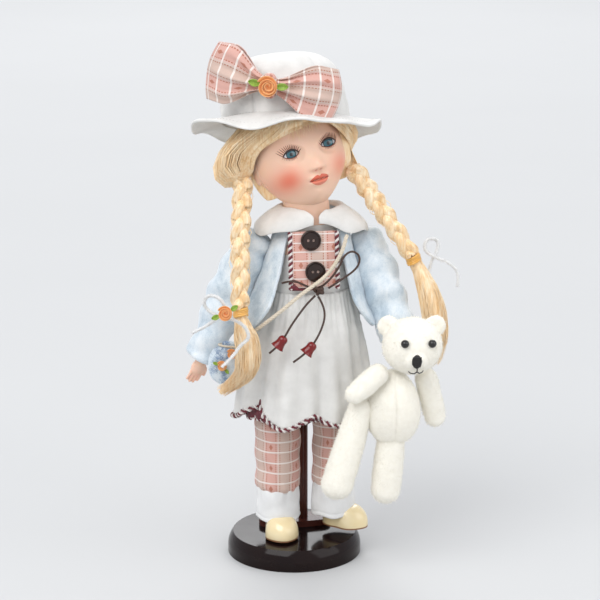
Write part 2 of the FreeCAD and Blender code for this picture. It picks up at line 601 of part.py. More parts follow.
BEAR_LIMBS = {
    "bear_right_arm": (Vector(43, -54, 129), Vector(29, -57, 118.5), "bear_arm", 6.4),
    "bear_left_arm": (Vector(75.1, -43.6, 122), Vector(81.4, -40.6, 97), "bear_arm", 6.6),
    "bear_right_leg": (Vector(34, -47.5, 106), Vector(19.5, -47.5, 60), "bear_thigh", 11.0),
    "bear_left_leg": (Vector(51, -46, 78), Vector(46, -44, 58.5), "bear_thigh", 11.0),
}


def build_bear():
    """Plush bear: head with ears, bead eyes, body and four thread-jointed limbs."""
    skull = make("Part::Sphere", "bear_skull", {"Radius": "Sizes.bear_head"}, BEAR_HEAD)
    ears = [make("Part::Sphere", "bear_ear", {"Radius": "Sizes.bear_ear"}, spot)
            for spot in BEAR_EARS]
    snout = make("Part::Sphere", "bear_snout", {"Radius": "Sizes.bear_ear"}, BEAR_SNOUT)
    head = cut("bear_head_fitted", fuse("bear_head_outside", skull, snout, *ears),
               *[make("Part::Sphere", "bead_seat", {"Radius": "Sizes.bear_eye"}, spot) for spot in BEAR_EYES])
    keep(head, "bear_head")
    keep(group("bead_pair", *[make("Part::Sphere", "bead", {"Radius": "Sizes.bear_eye"}, spot)
                              for spot in BEAR_EYES]), "bear_eyes")
    belly = ellipsoid("bear_belly", "Sizes.bear_wide", "Sizes.bear_deep", "Sizes.bear_tall", BEAR_BODY)
    sockets = []
    for name, (top, end, radius, far) in BEAR_LIMBS.items():
        keep(sausage(name, top, end, size(radius), far), name)
        sockets.append(make("Part::Sphere", f"{name}_seat", {"Radius": f"Sizes.{radius} + Sizes.gap + 0.2"}, top))
        room = make("Part::Cone", f"{name}_room", {}, Placement(top, direction(top, end)))
        room.Radius1, room.Radius2 = size(radius) + 0.7, far + 1.2
        room.Height = (end - top).Length
        sockets.append(room)
    keep(cut("bear_body_fitted", belly, *sockets, skull), "bear_body")


# ---------------------------------------------------------------- cords, bells and bag
TIE_BOW_ROUTE = [Vector(-11.2, -28, 181), Vector(-5, -32, 184), Vector(3.3, -32.8, 179.5),
                 Vector(10.5, -34.6, 178.5), Vector(17, -36.3, 184.5), Vector(22.5, -36.8, 192.5),
                 Vector(25, -36.8, 199), Vector(30.3, -36.6, 202), Vector(35, -36, 198.3),
                 Vector(34.2, -35.6, 191.5), Vector(27, -35, 185.5), Vector(16, -34.4, 178.5)]
RIGHT_TAIL_CORD = [Vector(8.0, -35.2, 174.4), Vector(3.5, -37, 171), Vector(-1.7, -38.6, 165),
                   Vector(-7.4, -39.6, 157.4), Vector(-11.4, -40.6, 150.5), Vector(-15.5, -40.2, 145),
                   Vector(-20.5, -39.6, 140.8)]
LEFT_TAIL_CORD = [Vector(9.6, -35.6, 174), Vector(12.4, -38.4, 169.5), Vector(13.2, -41, 162.5),
                  Vector(10.5, -43, 155), Vector(6.2, -44.4, 147.6), Vector(0.8, -44.6, 141),
                  Vector(-6.6, -43.8, 135.8)]
STRAP_ROUTE = [Vector(28.6, -25.5, 209), Vector(26.2, -28.6, 201.5), Vector(21.6, -31.4, 194),
               Vector(15.6, -34.6, 187), Vector(7.6, -36.6, 181.4), Vector(-1.5, -37.2, 175.6),
               Vector(-11, -37, 167.5), Vector(-19.5, -34, 160), Vector(-27, -28.5, 152.6),
               Vector(-33.5, -22.5, 146.6)]
RIGHT_BOW_ROUTE = [Vector(-65, -20, 150), Vector(-58, -24, 154), Vector(-52.5, -33, 161),
                   Vector(-47, -45, 168), Vector(-49, -47, 177), Vector(-57, -43, 180),
                   Vector(-61, -41, 173), Vector(-54, -43, 166.5), Vector(-44, -46.5, 165),
                   Vector(-36, -48, 161), Vector(-33, -48, 153), Vector(-39, -48, 149),
                   Vector(-43.5, -48.5, 142), Vector(-50, -47, 135.5)]
LEFT_BOW_ROUTE = [Vector(100, -12, 171), Vector(101.5, -12.4, 179), Vector(95, -11.6, 186.5),
                  Vector(86, -10.6, 189.5), Vector(79, -8, 194), Vector(82, -5.5, 201),
                  Vector(89.5, -5.5, 199.5), Vector(88, -7, 192.5), Vector(82.5, -9, 183.5),
                  Vector(82, -9, 174)]


def bell(number, spot, along):
    """A bead the shape of a bell, threaded on its cord."""
    rim, height = size("bell_radius"), size("bell_height")
    hole = size("tie_radius") + size("gap")
    return turned(f"bell_{number}", [
        (hole, height / 2), (hole, -height / 2), (rim, -height / 2), (rim - 0.9, -height / 4, 0),
        (rim - 1.4, 0.6), (rim - 2.2, height / 2 - 0.4, 0), (hole + 0.4, height / 2)],
        Placement(spot, Rotation(Z, -along)))


def build_cords():
    """The leather tie and its two belled tails, the bag strap and the chenille bows."""
    keep(tube("tie_bow", TIE_BOW_ROUTE, size("tie_radius"), True), "tie_bow")
    beads = []
    for side, route, corner in (("right", RIGHT_TAIL_CORD, 4), ("left", LEFT_TAIL_CORD, 4)):
        keep(tube(f"{side}_tie_tail", route, size("tie_radius"), True), f"{side}_tie_tail")
        run = route[corner + 1] - route[corner]
        middle = (route[corner + 1] + route[corner]) / 2
        beads.append(bell(side, middle, run))
    keep(group("bell_pair", *beads), "tie_bells")
    keep(tube("bag_strap", STRAP_ROUTE, size("strap_radius"), True), "bag_strap")
    keep(tube("right_bow", RIGHT_BOW_ROUTE, size("chenille_radius"), True), "right_bow")
    keep(tube("left_bow", LEFT_BOW_ROUTE, size("chenille_radius"), True), "left_bow")


def build_bag():
    """Small velour bag that hangs at the doll's right hip from its strap."""
    keep(ellipsoid("purse", "Sizes.bag_wide", "Sizes.bag_deep", "Sizes.bag_tall", BAG), "bag")


# ---------------------------------------------------------------- build, check and write
def build_all():
    build_stand()
    build_clip()
    torso = build_body()
    head = build_head()
    build_dress(torso, head)
    build_collar(head)
    build_jacket()
    build_hat()
    build_hair()
    arm("right", RIGHT_SHOULDER, RIGHT_WRIST, 80, 14.5, 10.2, (5.5, 3.4, 9))
    arm("left", LEFT_SHOULDER, LEFT_WRIST, 60, 13, 12, (5, 3.4, 7))
    leg("right", RIGHT_HIP, 14.2, 4, size("trouser_radius"), 44.5)
    leg("left", LEFT_HIP, 17.8, 58, size("trouser_radius") - 1, 45.5)
    build_bear()
    build_cords()
    build_bag()


def check_all():
    """Stops before anything is written if an object failed or a piece isn't one valid shape."""
    failed = [obj.Name for obj in doc.Objects if {"Invalid", "Error"} & set(obj.State)]
    if failed:
        raise RuntimeError(f"objects failed: {failed}")
    for label, obj in nodes.items():
        shape = obj.Shape
        if shape.isNull() or not shape.isValid() or not shape.Solids:
            raise RuntimeError(f"{label} isn't a valid solid")
        print(f"{label}: {len(shape.Solids)} solid, {shape.Volume / 1000:.2f} cm3")


build_all()
doc.recompute()
check_all()
os.makedirs("parts", exist_ok=True)
for label, obj in nodes.items():
    obj.Shape.exportStep(f"parts/{label}.step")
print(len(nodes), "pieces")
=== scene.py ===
"""Looks of a jointed porcelain doll with her hat, clothes, plush bear and lacquered stand.

Sizes are in millimetres in the doll's own frame (she faces -Y, +Z is up, and her right hand is
on the -X side) and become metres where a mesh is made.
"""
import logging
import math
import random
from dataclasses import dataclass, field
from enum import Enum
from typing import Callable, Sequence

import bmesh
import bpy
from mathutils import Matrix, Vector, noise


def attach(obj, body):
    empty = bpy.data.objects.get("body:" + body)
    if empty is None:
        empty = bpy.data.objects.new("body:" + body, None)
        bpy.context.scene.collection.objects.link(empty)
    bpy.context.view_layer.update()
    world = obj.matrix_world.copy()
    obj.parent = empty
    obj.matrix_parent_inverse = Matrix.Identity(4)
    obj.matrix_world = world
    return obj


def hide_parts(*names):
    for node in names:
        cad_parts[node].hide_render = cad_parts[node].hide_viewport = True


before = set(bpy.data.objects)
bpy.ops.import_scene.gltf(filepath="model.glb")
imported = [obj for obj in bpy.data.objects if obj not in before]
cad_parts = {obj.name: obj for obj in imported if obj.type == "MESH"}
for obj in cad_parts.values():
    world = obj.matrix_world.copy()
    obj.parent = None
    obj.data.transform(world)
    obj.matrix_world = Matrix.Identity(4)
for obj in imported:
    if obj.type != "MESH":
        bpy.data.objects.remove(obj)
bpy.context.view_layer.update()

log = logging.getLogger("doll")
MM = 0.001
TAU = 2 * math.pi
Colour = tuple[float, float, float]
Place = Callable[[float, float], Vector]


# ---------------------------------------------------------------------------------- small maths
def mix(low: float, high: float, share: float) -> float:
    """Returns the value a share of the way from low to high."""
    return low + (high - low) * share


def smooth(low: float, high: float, value: float) -> float:
    """Returns 0 below low, 1 above high and an even S between them."""
    share = min(1.0, max(0.0, (value - low) / (high - low)))
    return share * share * (3 - 2 * share)


def bump_at(value: float, middle: float, width: float) -> float:
    """Returns a soft bell that is 1 at its middle and fades over its width."""
    return math.exp(-(((value - middle) / width) ** 2))


def crinkle(point: Vector, scale: float) -> float:
    """Returns smooth noise from -1 to 1 at a place in millimetres, one wrinkle per scale."""
    return noise.noise(point / scale)


def along(points: Sequence[Vector], share: float) -> Vector:
    """Returns the place a share of the way down a smooth line through some points.

    Args:
        points: Two or more places, evenly weighted.
        share: From 0 at the first place to 1 at the last.

    Returns:
        A place on a Catmull-Rom curve.
    """
    last = len(points) - 1
    step = min(last - 1, int(share * last))
    part = share * last - step
    before, first = points[max(0, step - 1)], points[step]
    second, after = points[step + 1], points[min(last, step + 2)]
    return 0.5 * (2 * first + (second - before) * part
                  + (2 * before - 5 * first + 4 * second - after) * part ** 2
                  + (3 * first - before - 3 * second + after) * part ** 3)


def heading(points: Sequence[Vector], share: float) -> Vector:
    """Returns the unit direction of the smooth line at a share of its length."""
    return (along(points, min(1.0, share + 0.01)) - along(points, max(0.0, share - 0.01))).normalized()


def across_of(direction: Vector, reference: Vector) -> tuple[Vector, Vector]:
    """Returns two unit directions square to a line, the first as near to the reference as can be."""
    side = (reference - direction * reference.dot(direction)).normalized()
    return side, direction.cross(side).normalized()


# ---------------------------------------------------------------------------------- shading graph
class Wire:
    """One output of a shading graph; arithmetic on it adds Math nodes."""

    def __init__(self, graph: "Graph", socket: bpy.types.NodeSocket) -> None:
        """Keeps the graph and the socket."""
        self.graph = graph
        self.socket = socket

    def maths(self, operation: str, *others: "Wire | float") -> "Wire":
        """Returns the result of one Math node on this value and the others."""
        return self.graph.node("ShaderNodeMath", {"operation": operation}, dict(enumerate((self, *others))))

    def swapped(self, operation: str, other: "Wire | float") -> "Wire":
        """Returns a Math node's result with this value second."""
        return self.graph.node("ShaderNodeMath", {"operation": operation}, {0: other, 1: self})

    def __add__(self, other: "Wire | float") -> "Wire":
        """Returns the sum."""
        return self.maths("ADD", other)

    def __sub__(self, other: "Wire | float") -> "Wire":
        """Returns the difference."""
        return self.maths("SUBTRACT", other)

    def __rsub__(self, other: float) -> "Wire":
        """Returns a number less this value."""
        return self.swapped("SUBTRACT", other)

    def __mul__(self, other: "Wire | float") -> "Wire":
        """Returns the product."""
        return self.maths("MULTIPLY", other)

    def __truediv__(self, other: "Wire | float") -> "Wire":
        """Returns the quotient."""
        return self.maths("DIVIDE", other)

    def part(self) -> "Wire":
        """Returns the fractional part."""
        return self.maths("FRACT")

    def size(self) -> "Wire":
        """Returns the absolute value."""
        return self.maths("ABSOLUTE")

    def wave(self) -> "Wire":
        """Returns the sine."""
        return self.maths("SINE")

    def below(self, limit: "Wire | float") -> "Wire":
        """Returns 1 where this value is under the limit."""
        return self.maths("LESS_THAN", limit)

    def above(self, limit: "Wire | float") -> "Wire":
        """Returns 1 where this value is over the limit."""
        return self.maths("GREATER_THAN", limit)

    def held(self) -> "Wire":
        """Returns the value kept between 0 and 1."""
        return self.graph.node("ShaderNodeClamp", {}, {0: self})


class Graph:
    """A material made of nodes round one Principled shader."""

    def __init__(self, name: str) -> None:
        """Makes an empty material with its shader and output."""
        self.material = bpy.data.materials.new(name)
        self.material.use_nodes = True
        self.tree = self.material.node_tree
        self.tree.nodes.clear()
        self.shader = self.tree.nodes.new("ShaderNodeBsdfPrincipled")
        output = self.tree.nodes.new("ShaderNodeOutputMaterial")
        self.tree.links.new(self.shader.outputs[0], output.inputs[0])

    def node(self, kind: str, settings: dict | None = None, inputs: dict | None = None,
             output: int | str = 0) -> Wire:
        """Adds any node.

        Args:
            kind: The node's type name.
            settings: Properties set first; "stops" sets a colour ramp's stops.
            inputs: Socket names or numbers to values or wires.
            output: Which output to return.

        Returns:
            The chosen output as a wire.
        """
        made = self.tree.nodes.new(kind)
        for name, value in (settings or {}).items():
            if name == "stops":
                self.fill_ramp(made.color_ramp, value)
            else:
                setattr(made, name, value)
        for name, value in (inputs or {}).items():
            if isinstance(value, Wire):
                self.tree.links.new(value.socket, made.inputs[name])
            else:
                made.inputs[name].default_value = value
        return Wire(self, made.outputs[output])

    @staticmethod
    def fill_ramp(ramp: bpy.types.ColorRamp, stops: Sequence[tuple[float, Colour]]) -> None:
        """Sets a colour ramp's stops from (place, colour) pairs."""
        while len(ramp.elements) < len(stops):
            ramp.elements.new(0.5)
        for element, (place, colour) in zip(ramp.elements, stops):
            element.position = place
            element.color = (*colour, 1)

    def place(self, kind: str = "Object") -> Wire:
        """Returns the Object or UV coordinates."""
        return self.node("ShaderNodeTexCoord", output=kind)

    def axis(self, vector: Wire, name: str) -> Wire:
        """Returns one of a vector's X, Y and Z."""
        return self.node("ShaderNodeSeparateXYZ", {}, {0: vector}, name)

    def stretched(self, vector: Wire, scale: tuple[float, float, float]) -> Wire:
        """Returns a vector scaled along each axis."""
        return self.node("ShaderNodeVectorMath", {"operation": "MULTIPLY"}, {0: vector, 1: scale})

    def grain(self, vector: Wire, scale: float, detail: float = 3.0, rough: float = 0.55) -> Wire:
        """Returns noise from 0 to 1."""
        return self.node("ShaderNodeTexNoise", {}, {
            "Vector": vector, "Scale": scale, "Detail": detail, "Roughness": rough})

    def ramp(self, value: Wire, stops: Sequence[tuple[float, Colour]]) -> Wire:
        """Returns a colour chosen by a value."""
        return self.node("ShaderNodeValToRGB", {"stops": stops}, {0: value})

    def blend(self, first: "Wire | Colour", second: "Wire | Colour", share: "Wire | float") -> Wire:
        """Returns a mix of two colours."""
        inputs = {0: share}
        for index, colour in ((6, first), (7, second)):
            inputs[index] = colour if isinstance(colour, Wire) else (*colour, 1)
        return self.node("ShaderNodeMix", {"data_type": "RGBA"}, inputs, 2)

    def attribute(self, name: str) -> Wire:
        """Returns a value painted on the piece's points."""
        return self.node("ShaderNodeAttribute", {"attribute_name": name}, output="Fac")

    def relief(self, height: Wire, depth_mm: float, strength: float = 1.0) -> Wire:
        """Returns the surface normal over a relief of that depth."""
        return self.node("ShaderNodeBump", {}, {
            "Strength": strength, "Distance": depth_mm * MM, "Height": height}, "Normal")

    def finish(self, varying: dict[str, Wire], **constants: float | tuple) -> bpy.types.Material:
        """Sets the shader's sockets.

        Args:
            varying: Socket names to wires.
            constants: Socket names, with underscores for spaces, to plain values.

        Returns:
            The finished material.
        """
        for name, wire in varying.items():
            self.tree.links.new(wire.socket, self.shader.inputs[name])
        for name, value in constants.items():
            self.shader.inputs[name.replace("_", " ")].default_value = value
        return self.material


# ---------------------------------------------------------------------------------- finishes
@dataclass(frozen=True)
class Cotton:
    """Plain woven cotton with soft creases."""

    name: str
    light: Colour = (0.83, 0.82, 0.79)
    shade: Colour = (0.66, 0.65, 0.62)
    thread_mm: float = 0.55

    def material(self) -> bpy.types.Material:
        """Returns the cloth: crossed threads in relief over uneven off-white."""
        graph = Graph(self.name)
        place = graph.place("UV")
        turns = TAU / self.thread_mm
        warp = (graph.axis(place, "X") * turns).wave()
        weft = (graph.axis(place, "Y") * turns).wave()
        weave = warp * weft
        creases = graph.grain(graph.place(), 90, 4)
        tint = graph.blend(self.shade, self.light, (creases * 1.6 - 0.2 + weave * 0.1).held())
        return graph.finish({
            "Base Color": tint, "Normal": graph.relief(weave * 0.3 + creases * 2.2, 0.35, 0.55)},
            Roughness=0.85, Sheen_Weight=0.25, Sheen_Roughness=0.5, Specular_IOR_Level=0.25)


@dataclass(frozen=True)
class Plaid:
    """Dusty pink check with raised white threads, dotted rust lines and small diamonds."""

    name: str = "pink_plaid_cloth"
    pink: Colour = (0.66, 0.375, 0.315)
    beige: Colour = (0.60, 0.475, 0.40)
    white: Colour = (0.86, 0.78, 0.73)
    rust: Colour = (0.42, 0.13, 0.07)
    row_mm: float = 6.6
    column_mm: float = 10.0

    def material(self) -> bpy.types.Material:
        """Returns the check laid out on the piece's own flat cloth, in millimetres."""
        graph = Graph(self.name)
        place = graph.place("UV")
        across, down = graph.axis(place, "X"), graph.axis(place, "Y")
        column = (across / self.column_mm).part()
        pair = (across / (2 * self.column_mm)).part()
        panel = pair.above(0.5)
        ground = graph.blend(self.pink, self.beige, panel * 0.75)
        slub = graph.grain(graph.stretched(place, (0.5, 4.0, 1.0)), 1.4, 3)
        ground = graph.blend(ground, self.white, (slub - 0.42).held() * 0.35)
        strip = (column - 0.5).size().above(0.39)
        row = ((down / self.row_mm).part() - 0.5).size().above(0.43)
        dots = ((down / 1.4).part() - 0.5).size().below(0.3)
        edge = ((column - 0.5).size() - 0.37).size().below(0.035) * dots
        bar_across = ((across / (2 * self.column_mm)).part() - 0.25).size() * (2 * self.column_mm)
        bar_down = ((down / (2 * self.row_mm)).part() - 0.25).size() * (2 * self.row_mm)
        diamond = (bar_across / 1.4 + bar_down / 2.0).below(1.0)
        colour = graph.blend(ground, self.white, strip * 0.22)
        colour = graph.blend(colour, self.rust, diamond * 0.75)
        colour = graph.blend(colour, self.rust, edge * 0.8)
        colour = graph.blend(colour, self.white, row * 0.9)
        thread = (across * (TAU / 0.5)).wave() * (down * (TAU / 0.5)).wave()
        relief = graph.relief(row * 1.0 + strip * 0.4 + thread * 0.18 + slub * 0.3, 0.3, 0.7)
        return graph.finish({"Base Color": colour, "Normal": relief},
                            Roughness=0.8, Sheen_Weight=0.2, Specular_IOR_Level=0.25)


@dataclass(frozen=True)
class Velour:
    """Short-pile velour, mottled from white to grey-blue."""

    name: str = "blue_velour_cloth"
    pale: Colour = (0.80, 0.84, 0.86)
    blue: Colour = (0.46, 0.55, 0.62)

    def material(self) -> bpy.types.Material:
        """Returns the pile: crushed patches over a fine nap."""
        graph = Graph(self.name)
        place = graph.place()
        patches = graph.grain(graph.stretched(place, (1.0, 1.0, 0.7)), 95, 5, 0.62)
        nap = graph.grain(place, 1500, 2)
        colour = graph.ramp((patches + (nap - 0.5) * 0.25).held(), [
            (0.36, self.blue), (0.47, (0.60, 0.68, 0.74)), (0.58, (0.70, 0.76, 0.80)), (0.7, self.pale)])
        return graph.finish({
            "Base Color": colour, "Normal": graph.relief(nap + patches * 2.0, 0.3, 0.6)},
            Roughness=0.9, Sheen_Weight=0.8, Sheen_Roughness=0.35, Specular_IOR_Level=0.2)


@dataclass(frozen=True)
class Bisque:
    """Unglazed painted porcelain, with its cheeks, lips and lash line painted on."""

    name: str = "bisque_skin"
    skin: Colour = (0.88, 0.58, 0.42)
    blush: Colour = (0.80, 0.20, 0.12)
    lips: Colour = (0.60, 0.09, 0.05)
    deep: Colour = (0.36, 0.03, 0.02)

    def material(self) -> bpy.types.Material:
        """Returns the skin from the values painted on each point."""
        graph = Graph(self.name)
        mottle = graph.grain(graph.place(), 140, 3)
        colour = graph.blend(self.skin, (0.85, 0.60, 0.48), mottle * 0.5)
        colour = graph.blend(colour, self.blush, graph.attribute("blush"))
        colour = graph.blend(colour, self.lips, graph.attribute("lips"))
        colour = graph.blend(colour, self.deep, graph.attribute("deep"))
        colour = graph.blend(colour, (0.10, 0.02, 0.015), graph.attribute("lash_line"))
        fine = graph.grain(graph.place(), 2600, 2)
        rough = 0.52 - graph.attribute("lips") * 0.22
        return graph.finish({
            "Base Color": colour, "Roughness": rough, "Normal": graph.relief(fine, 0.03, 0.4)},
            Subsurface_Weight=0.12, Subsurface_Radius=(0.006, 0.002, 0.001), Subsurface_Scale=0.5,
            Specular_IOR_Level=0.35)


@dataclass(frozen=True)
class EyeGlass:
    """A glass eye: white, dark rim, teal iris and pupil under a clear dome."""

    name: str = "teal_eye_glass"
    teal: Colour = (0.008, 0.055, 0.075)
    pale: Colour = (0.028, 0.15, 0.19)

    def material(self) -> bpy.types.Material:
        """Returns the eye from the turn away from its line of sight, painted on each point."""
        graph = Graph(self.name)
        turn = graph.attribute("turn")
        rays = graph.grain(graph.place(), 2200, 2)
        iris = graph.blend(self.teal, self.pale, (rays * 1.5 - 0.3 + turn * 0.5).held())
        black, white = (0.004, 0.006, 0.008), (0.82, 0.84, 0.86)
        colour = graph.blend(black, iris, ((turn - 0.27) * 18).held())
        colour = graph.blend(colour, black, ((turn - 0.70) * 14).held())
        colour = graph.blend(colour, white, ((turn - 0.82) * 16).held())
        return graph.finish({"Base Color": colour}, Roughness=0.12, Coat_Weight=1.0, Coat_Roughness=0.02)


@dataclass(frozen=True)
class Hair:
    """Fine blonde doll's hair in glossy streaks."""

    name: str = "blonde_hair_fibre"
    root: Colour = (0.72, 0.45, 0.19)
    gold: Colour = (0.88, 0.61, 0.32)
    pale: Colour = (0.97, 0.78, 0.53)
    drag: tuple[float, float, float] = (1.0, 1.0, 0.07)

    def material(self) -> bpy.types.Material:
        """Returns streaks that run down the strands."""
        graph = Graph(self.name)
        place = graph.stretched(graph.place(), self.drag)
        streaks = graph.grain(place, 900, 3, 0.6)
        locks = graph.grain(place, 170, 2)
        tone = (streaks * 0.65 + locks * 0.45).held()
        colour = graph.ramp(tone, [(0.30, self.root), (0.46, self.gold), (0.62, self.pale),
                                   (0.8, (1.0, 0.90, 0.70))])
        return graph.finish({
            "Base Color": colour, "Normal": graph.relief(streaks, 0.12, 0.5)},
            Roughness=0.36, Specular_IOR_Level=0.45, Sheen_Weight=0.15, Anisotropic=0.3)


@dataclass(frozen=True)
class Plush:
    """Cream fleece with a fine nap."""

    name: str = "cream_plush"
    light: Colour = (0.92, 0.89, 0.80)
    shade: Colour = (0.87, 0.83, 0.73)

    def material(self) -> bpy.types.Material:
        """Returns the fleece: tufts over a fine nap."""
        graph = Graph(self.name)
        place = graph.place()
        tufts = graph.grain(place, 420, 4, 0.6)
        nap = graph.grain(place, 2400, 2)
        colour = graph.blend(self.shade, self.light, (tufts * 1.9 - 0.25).held())
        return graph.finish({
            "Base Color": colour, "Normal": graph.relief(tufts * 1.0 + nap * 0.5, 0.16, 0.5)},
            Roughness=0.95, Sheen_Weight=0.4, Sheen_Roughness=0.5, Specular_IOR_Level=0.15)


@dataclass(frozen=True)
class Gloss:
    """Any smooth glossy finish: lacquer, glaze, polished plastic or rubber."""

    name: str
    colour: Colour
    worn: Colour
    roughness: float = 0.15
    coat: float = 0.6
    pit_scale: float = 260.0
    pit_mm: float = 0.05
    shine: float = 0.5

    def material(self) -> bpy.types.Material:
        """Returns the finish with faint clouds of colour and tiny pits."""
        graph = Graph(self.name)
        place = graph.place()
        clouds = graph.grain(place, 60, 4)
        pits = graph.grain(place, self.pit_scale, 3)
        colour = graph.blend(self.colour, self.worn, (clouds * 1.8 - 0.5).held())
        rough = clouds * 0.12 + (self.roughness - 0.05)
        return graph.finish({
            "Base Color": colour, "Roughness": rough, "Normal": graph.relief(pits, self.pit_mm, 0.5)},
            Coat_Weight=self.coat, Coat_Roughness=0.06, Specular_IOR_Level=self.shine)


@dataclass(frozen=True)
class Thread:
    """Twisted yarn, ribbon, leather lace or chenille: a soft fibre with a fine ply."""

    name: str
    colour: Colour
    dark: Colour
    ply_mm: float = 0.8
    depth_mm: float = 0.25
    roughness: float = 0.75
    sheen: float = 0.3

    def material(self) -> bpy.types.Material:
        """Returns the fibre with an uneven fuzz."""
        graph = Graph(self.name)
        fuzz = graph.grain(graph.place(), 1000 / self.ply_mm, 3, 0.6)
        colour = graph.blend(self.dark, self.colour, (fuzz * 2.0 - 0.45).held())
        return graph.finish({
            "Base Color": colour, "Normal": graph.relief(fuzz, self.depth_mm, 0.8)},
            Roughness=self.roughness, Sheen_Weight=self.sheen, Sheen_Roughness=0.4)


@dataclass(frozen=True)
class Steel:
    """Drawn steel wire."""

    name: str = "drawn_steel"

    def material(self) -> bpy.types.Material:
        """Returns the metal with faint lines along the wire."""
        graph = Graph(self.name)
        lines = graph.grain(graph.stretched(graph.place(), (1.0, 1.0, 0.05)), 3000, 2)
        colour = graph.blend((0.42, 0.42, 0.44), (0.62, 0.62, 0.64), lines)
        return graph.finish({"Base Color": colour, "Roughness": lines * 0.2 + 0.22}, Metallic=1.0)


# ---------------------------------------------------------------------------------- mesh stock
def new_grid(columns: int, rows: int, place: Place,
             cloth: tuple[float, float] = (1.0, 1.0)) -> bmesh.types.BMesh:
    """Returns a sheet of quads laid out by a function.

    Args:
        columns: Faces across.
        rows: Faces down.
        place: Gives the place in millimetres for shares across and down.
        cloth: The flat cloth's width and length in millimetres, for the UV map.

    Returns:
        The mesh, with edges that meet merged.
    """
    shape = bmesh.new()
    marks = shape.loops.layers.uv.new("UVMap")
    bmesh.ops.create_grid(shape, x_segments=columns, y_segments=rows, size=0.5)
    for face in shape.faces:
        for loop in face.loops:
            spot = loop.vert.co
            loop[marks].uv = ((spot.x + 0.5) * cloth[0], (spot.y + 0.5) * cloth[1])
    for vert in shape.verts:
        vert.co = place(vert.co.x + 0.5, vert.co.y + 0.5) * MM
    bmesh.ops.remove_doubles(shape, verts=shape.verts, dist=2e-6)
    bmesh.ops.recalc_face_normals(shape, faces=shape.faces)
    return shape


def new_ball(columns: int, rows: int, place: Callable[[Vector], Vector]) -> bmesh.types.BMesh:
    """Returns a closed ball reshaped by a function of each point's direction, in millimetres."""
    shape = bmesh.new()
    bmesh.ops.create_uvsphere(shape, u_segments=columns, v_segments=rows, radius=1.0)
    for vert in shape.verts:
        vert.co = place(vert.co.copy()) * MM
    bmesh.ops.recalc_face_normals(shape, faces=shape.faces)
    return shape


def new_tube(points: Sequence[Vector], radius: Callable[[float, float], float],
             columns: int = 14, rows: int = 40,
             reference: Vector = Vector((0, -1, 0)), cloth: tuple[float, float] = (1.0, 1.0),
             capped: bool = True) -> bmesh.types.BMesh:
    """Returns a tube round a smooth line.

    Args:
        points: The line.
        radius: Gives the radius for shares round and along.
        columns: Faces round.
        rows: Faces along.
        reference: The direction that share 0 round points to, as nearly as it can.
        cloth: The flat cloth's size for the UV map.
        capped: Whether the ends are closed.

    Returns:
        The mesh.
    """
    def place(u: float, v: float) -> Vector:
        """Returns a place on the tube."""
        side, up = across_of(heading(points, v), reference)
        turn = u * TAU
        return along(points, v) + (side * math.cos(turn) + up * math.sin(turn)) * radius(u % 1.0, v)

    shape = new_grid(columns, rows, place, cloth)
    if capped:
        bmesh.ops.holes_fill(shape, edges=[edge for edge in shape.edges if edge.is_boundary], sides=0)
        bmesh.ops.recalc_face_normals(shape, faces=shape.faces)
    return shape


def new_strands(lines: Sequence[Sequence[Vector]], radius: float, tip: float = 0.25) -> bmesh.types.BMesh:
    """Returns many thin fibres as one mesh.

    Args:
        lines: The points of each fibre, in millimetres.
        radius: The fibre's radius at its root.
        tip: The share of that radius left at its end.

    Returns:
        The mesh.
    """
    curve = bpy.data.curves.new("fibres", "CURVE")
    curve.dimensions = "3D"
    curve.bevel_depth = radius * MM
    curve.bevel_resolution = 0
    curve.use_fill_caps = True
    for line in lines:
        spline = curve.splines.new("POLY")
        spline.points.add(len(line) - 1)
        for index, (point, spot) in enumerate(zip(spline.points, line)):
            point.co = (*(spot * MM), 1)
            point.radius = mix(1, tip, smooth(0.5, 1, index / (len(line) - 1)))
    holder = bpy.data.objects.new("fibres", curve)
    mesh = bpy.data.meshes.new_from_object(holder)
    shape = bmesh.new()
    shape.from_mesh(mesh)
    bpy.data.objects.remove(holder)
    bpy.data.curves.remove(curve)
    bpy.data.meshes.remove(mesh)
    return shape


def shifted(shape: bmesh.types.BMesh, matrix: Matrix) -> bmesh.types.BMesh:
    """Turns and moves a mesh by a matrix whose shift is in millimetres, and returns it."""
    metres = matrix.copy()
    metres.translation = matrix.translation * MM
    bmesh.ops.transform(shape, matrix=metres, verts=shape.verts)
    return shape


def joined(shapes: Sequence[tuple[bmesh.types.BMesh, int]]) -> bmesh.types.BMesh:
    """Returns one mesh of several, each with the number of its material."""
    whole = bmesh.new()
    whole.loops.layers.uv.new("UVMap")
    for shape, number in shapes:
        for face in shape.faces:
            face.material_index = number
        mesh = bpy.data.meshes.new("part")
        shape.to_mesh(mesh)
        shape.free()
        whole.from_mesh(mesh)
        bpy.data.meshes.remove(mesh)
    return whole


def painted(shape: bmesh.types.BMesh, marks: dict[str, Callable[[Vector], float]]) -> bmesh.types.BMesh:
    """Writes named values on a mesh's points from functions of their place in millimetres."""
    for name, mark in marks.items():
        layer = shape.verts.layers.float.new(name)
        for vert in shape.verts:
            vert[layer] = mark(vert.co / MM)
    return shape


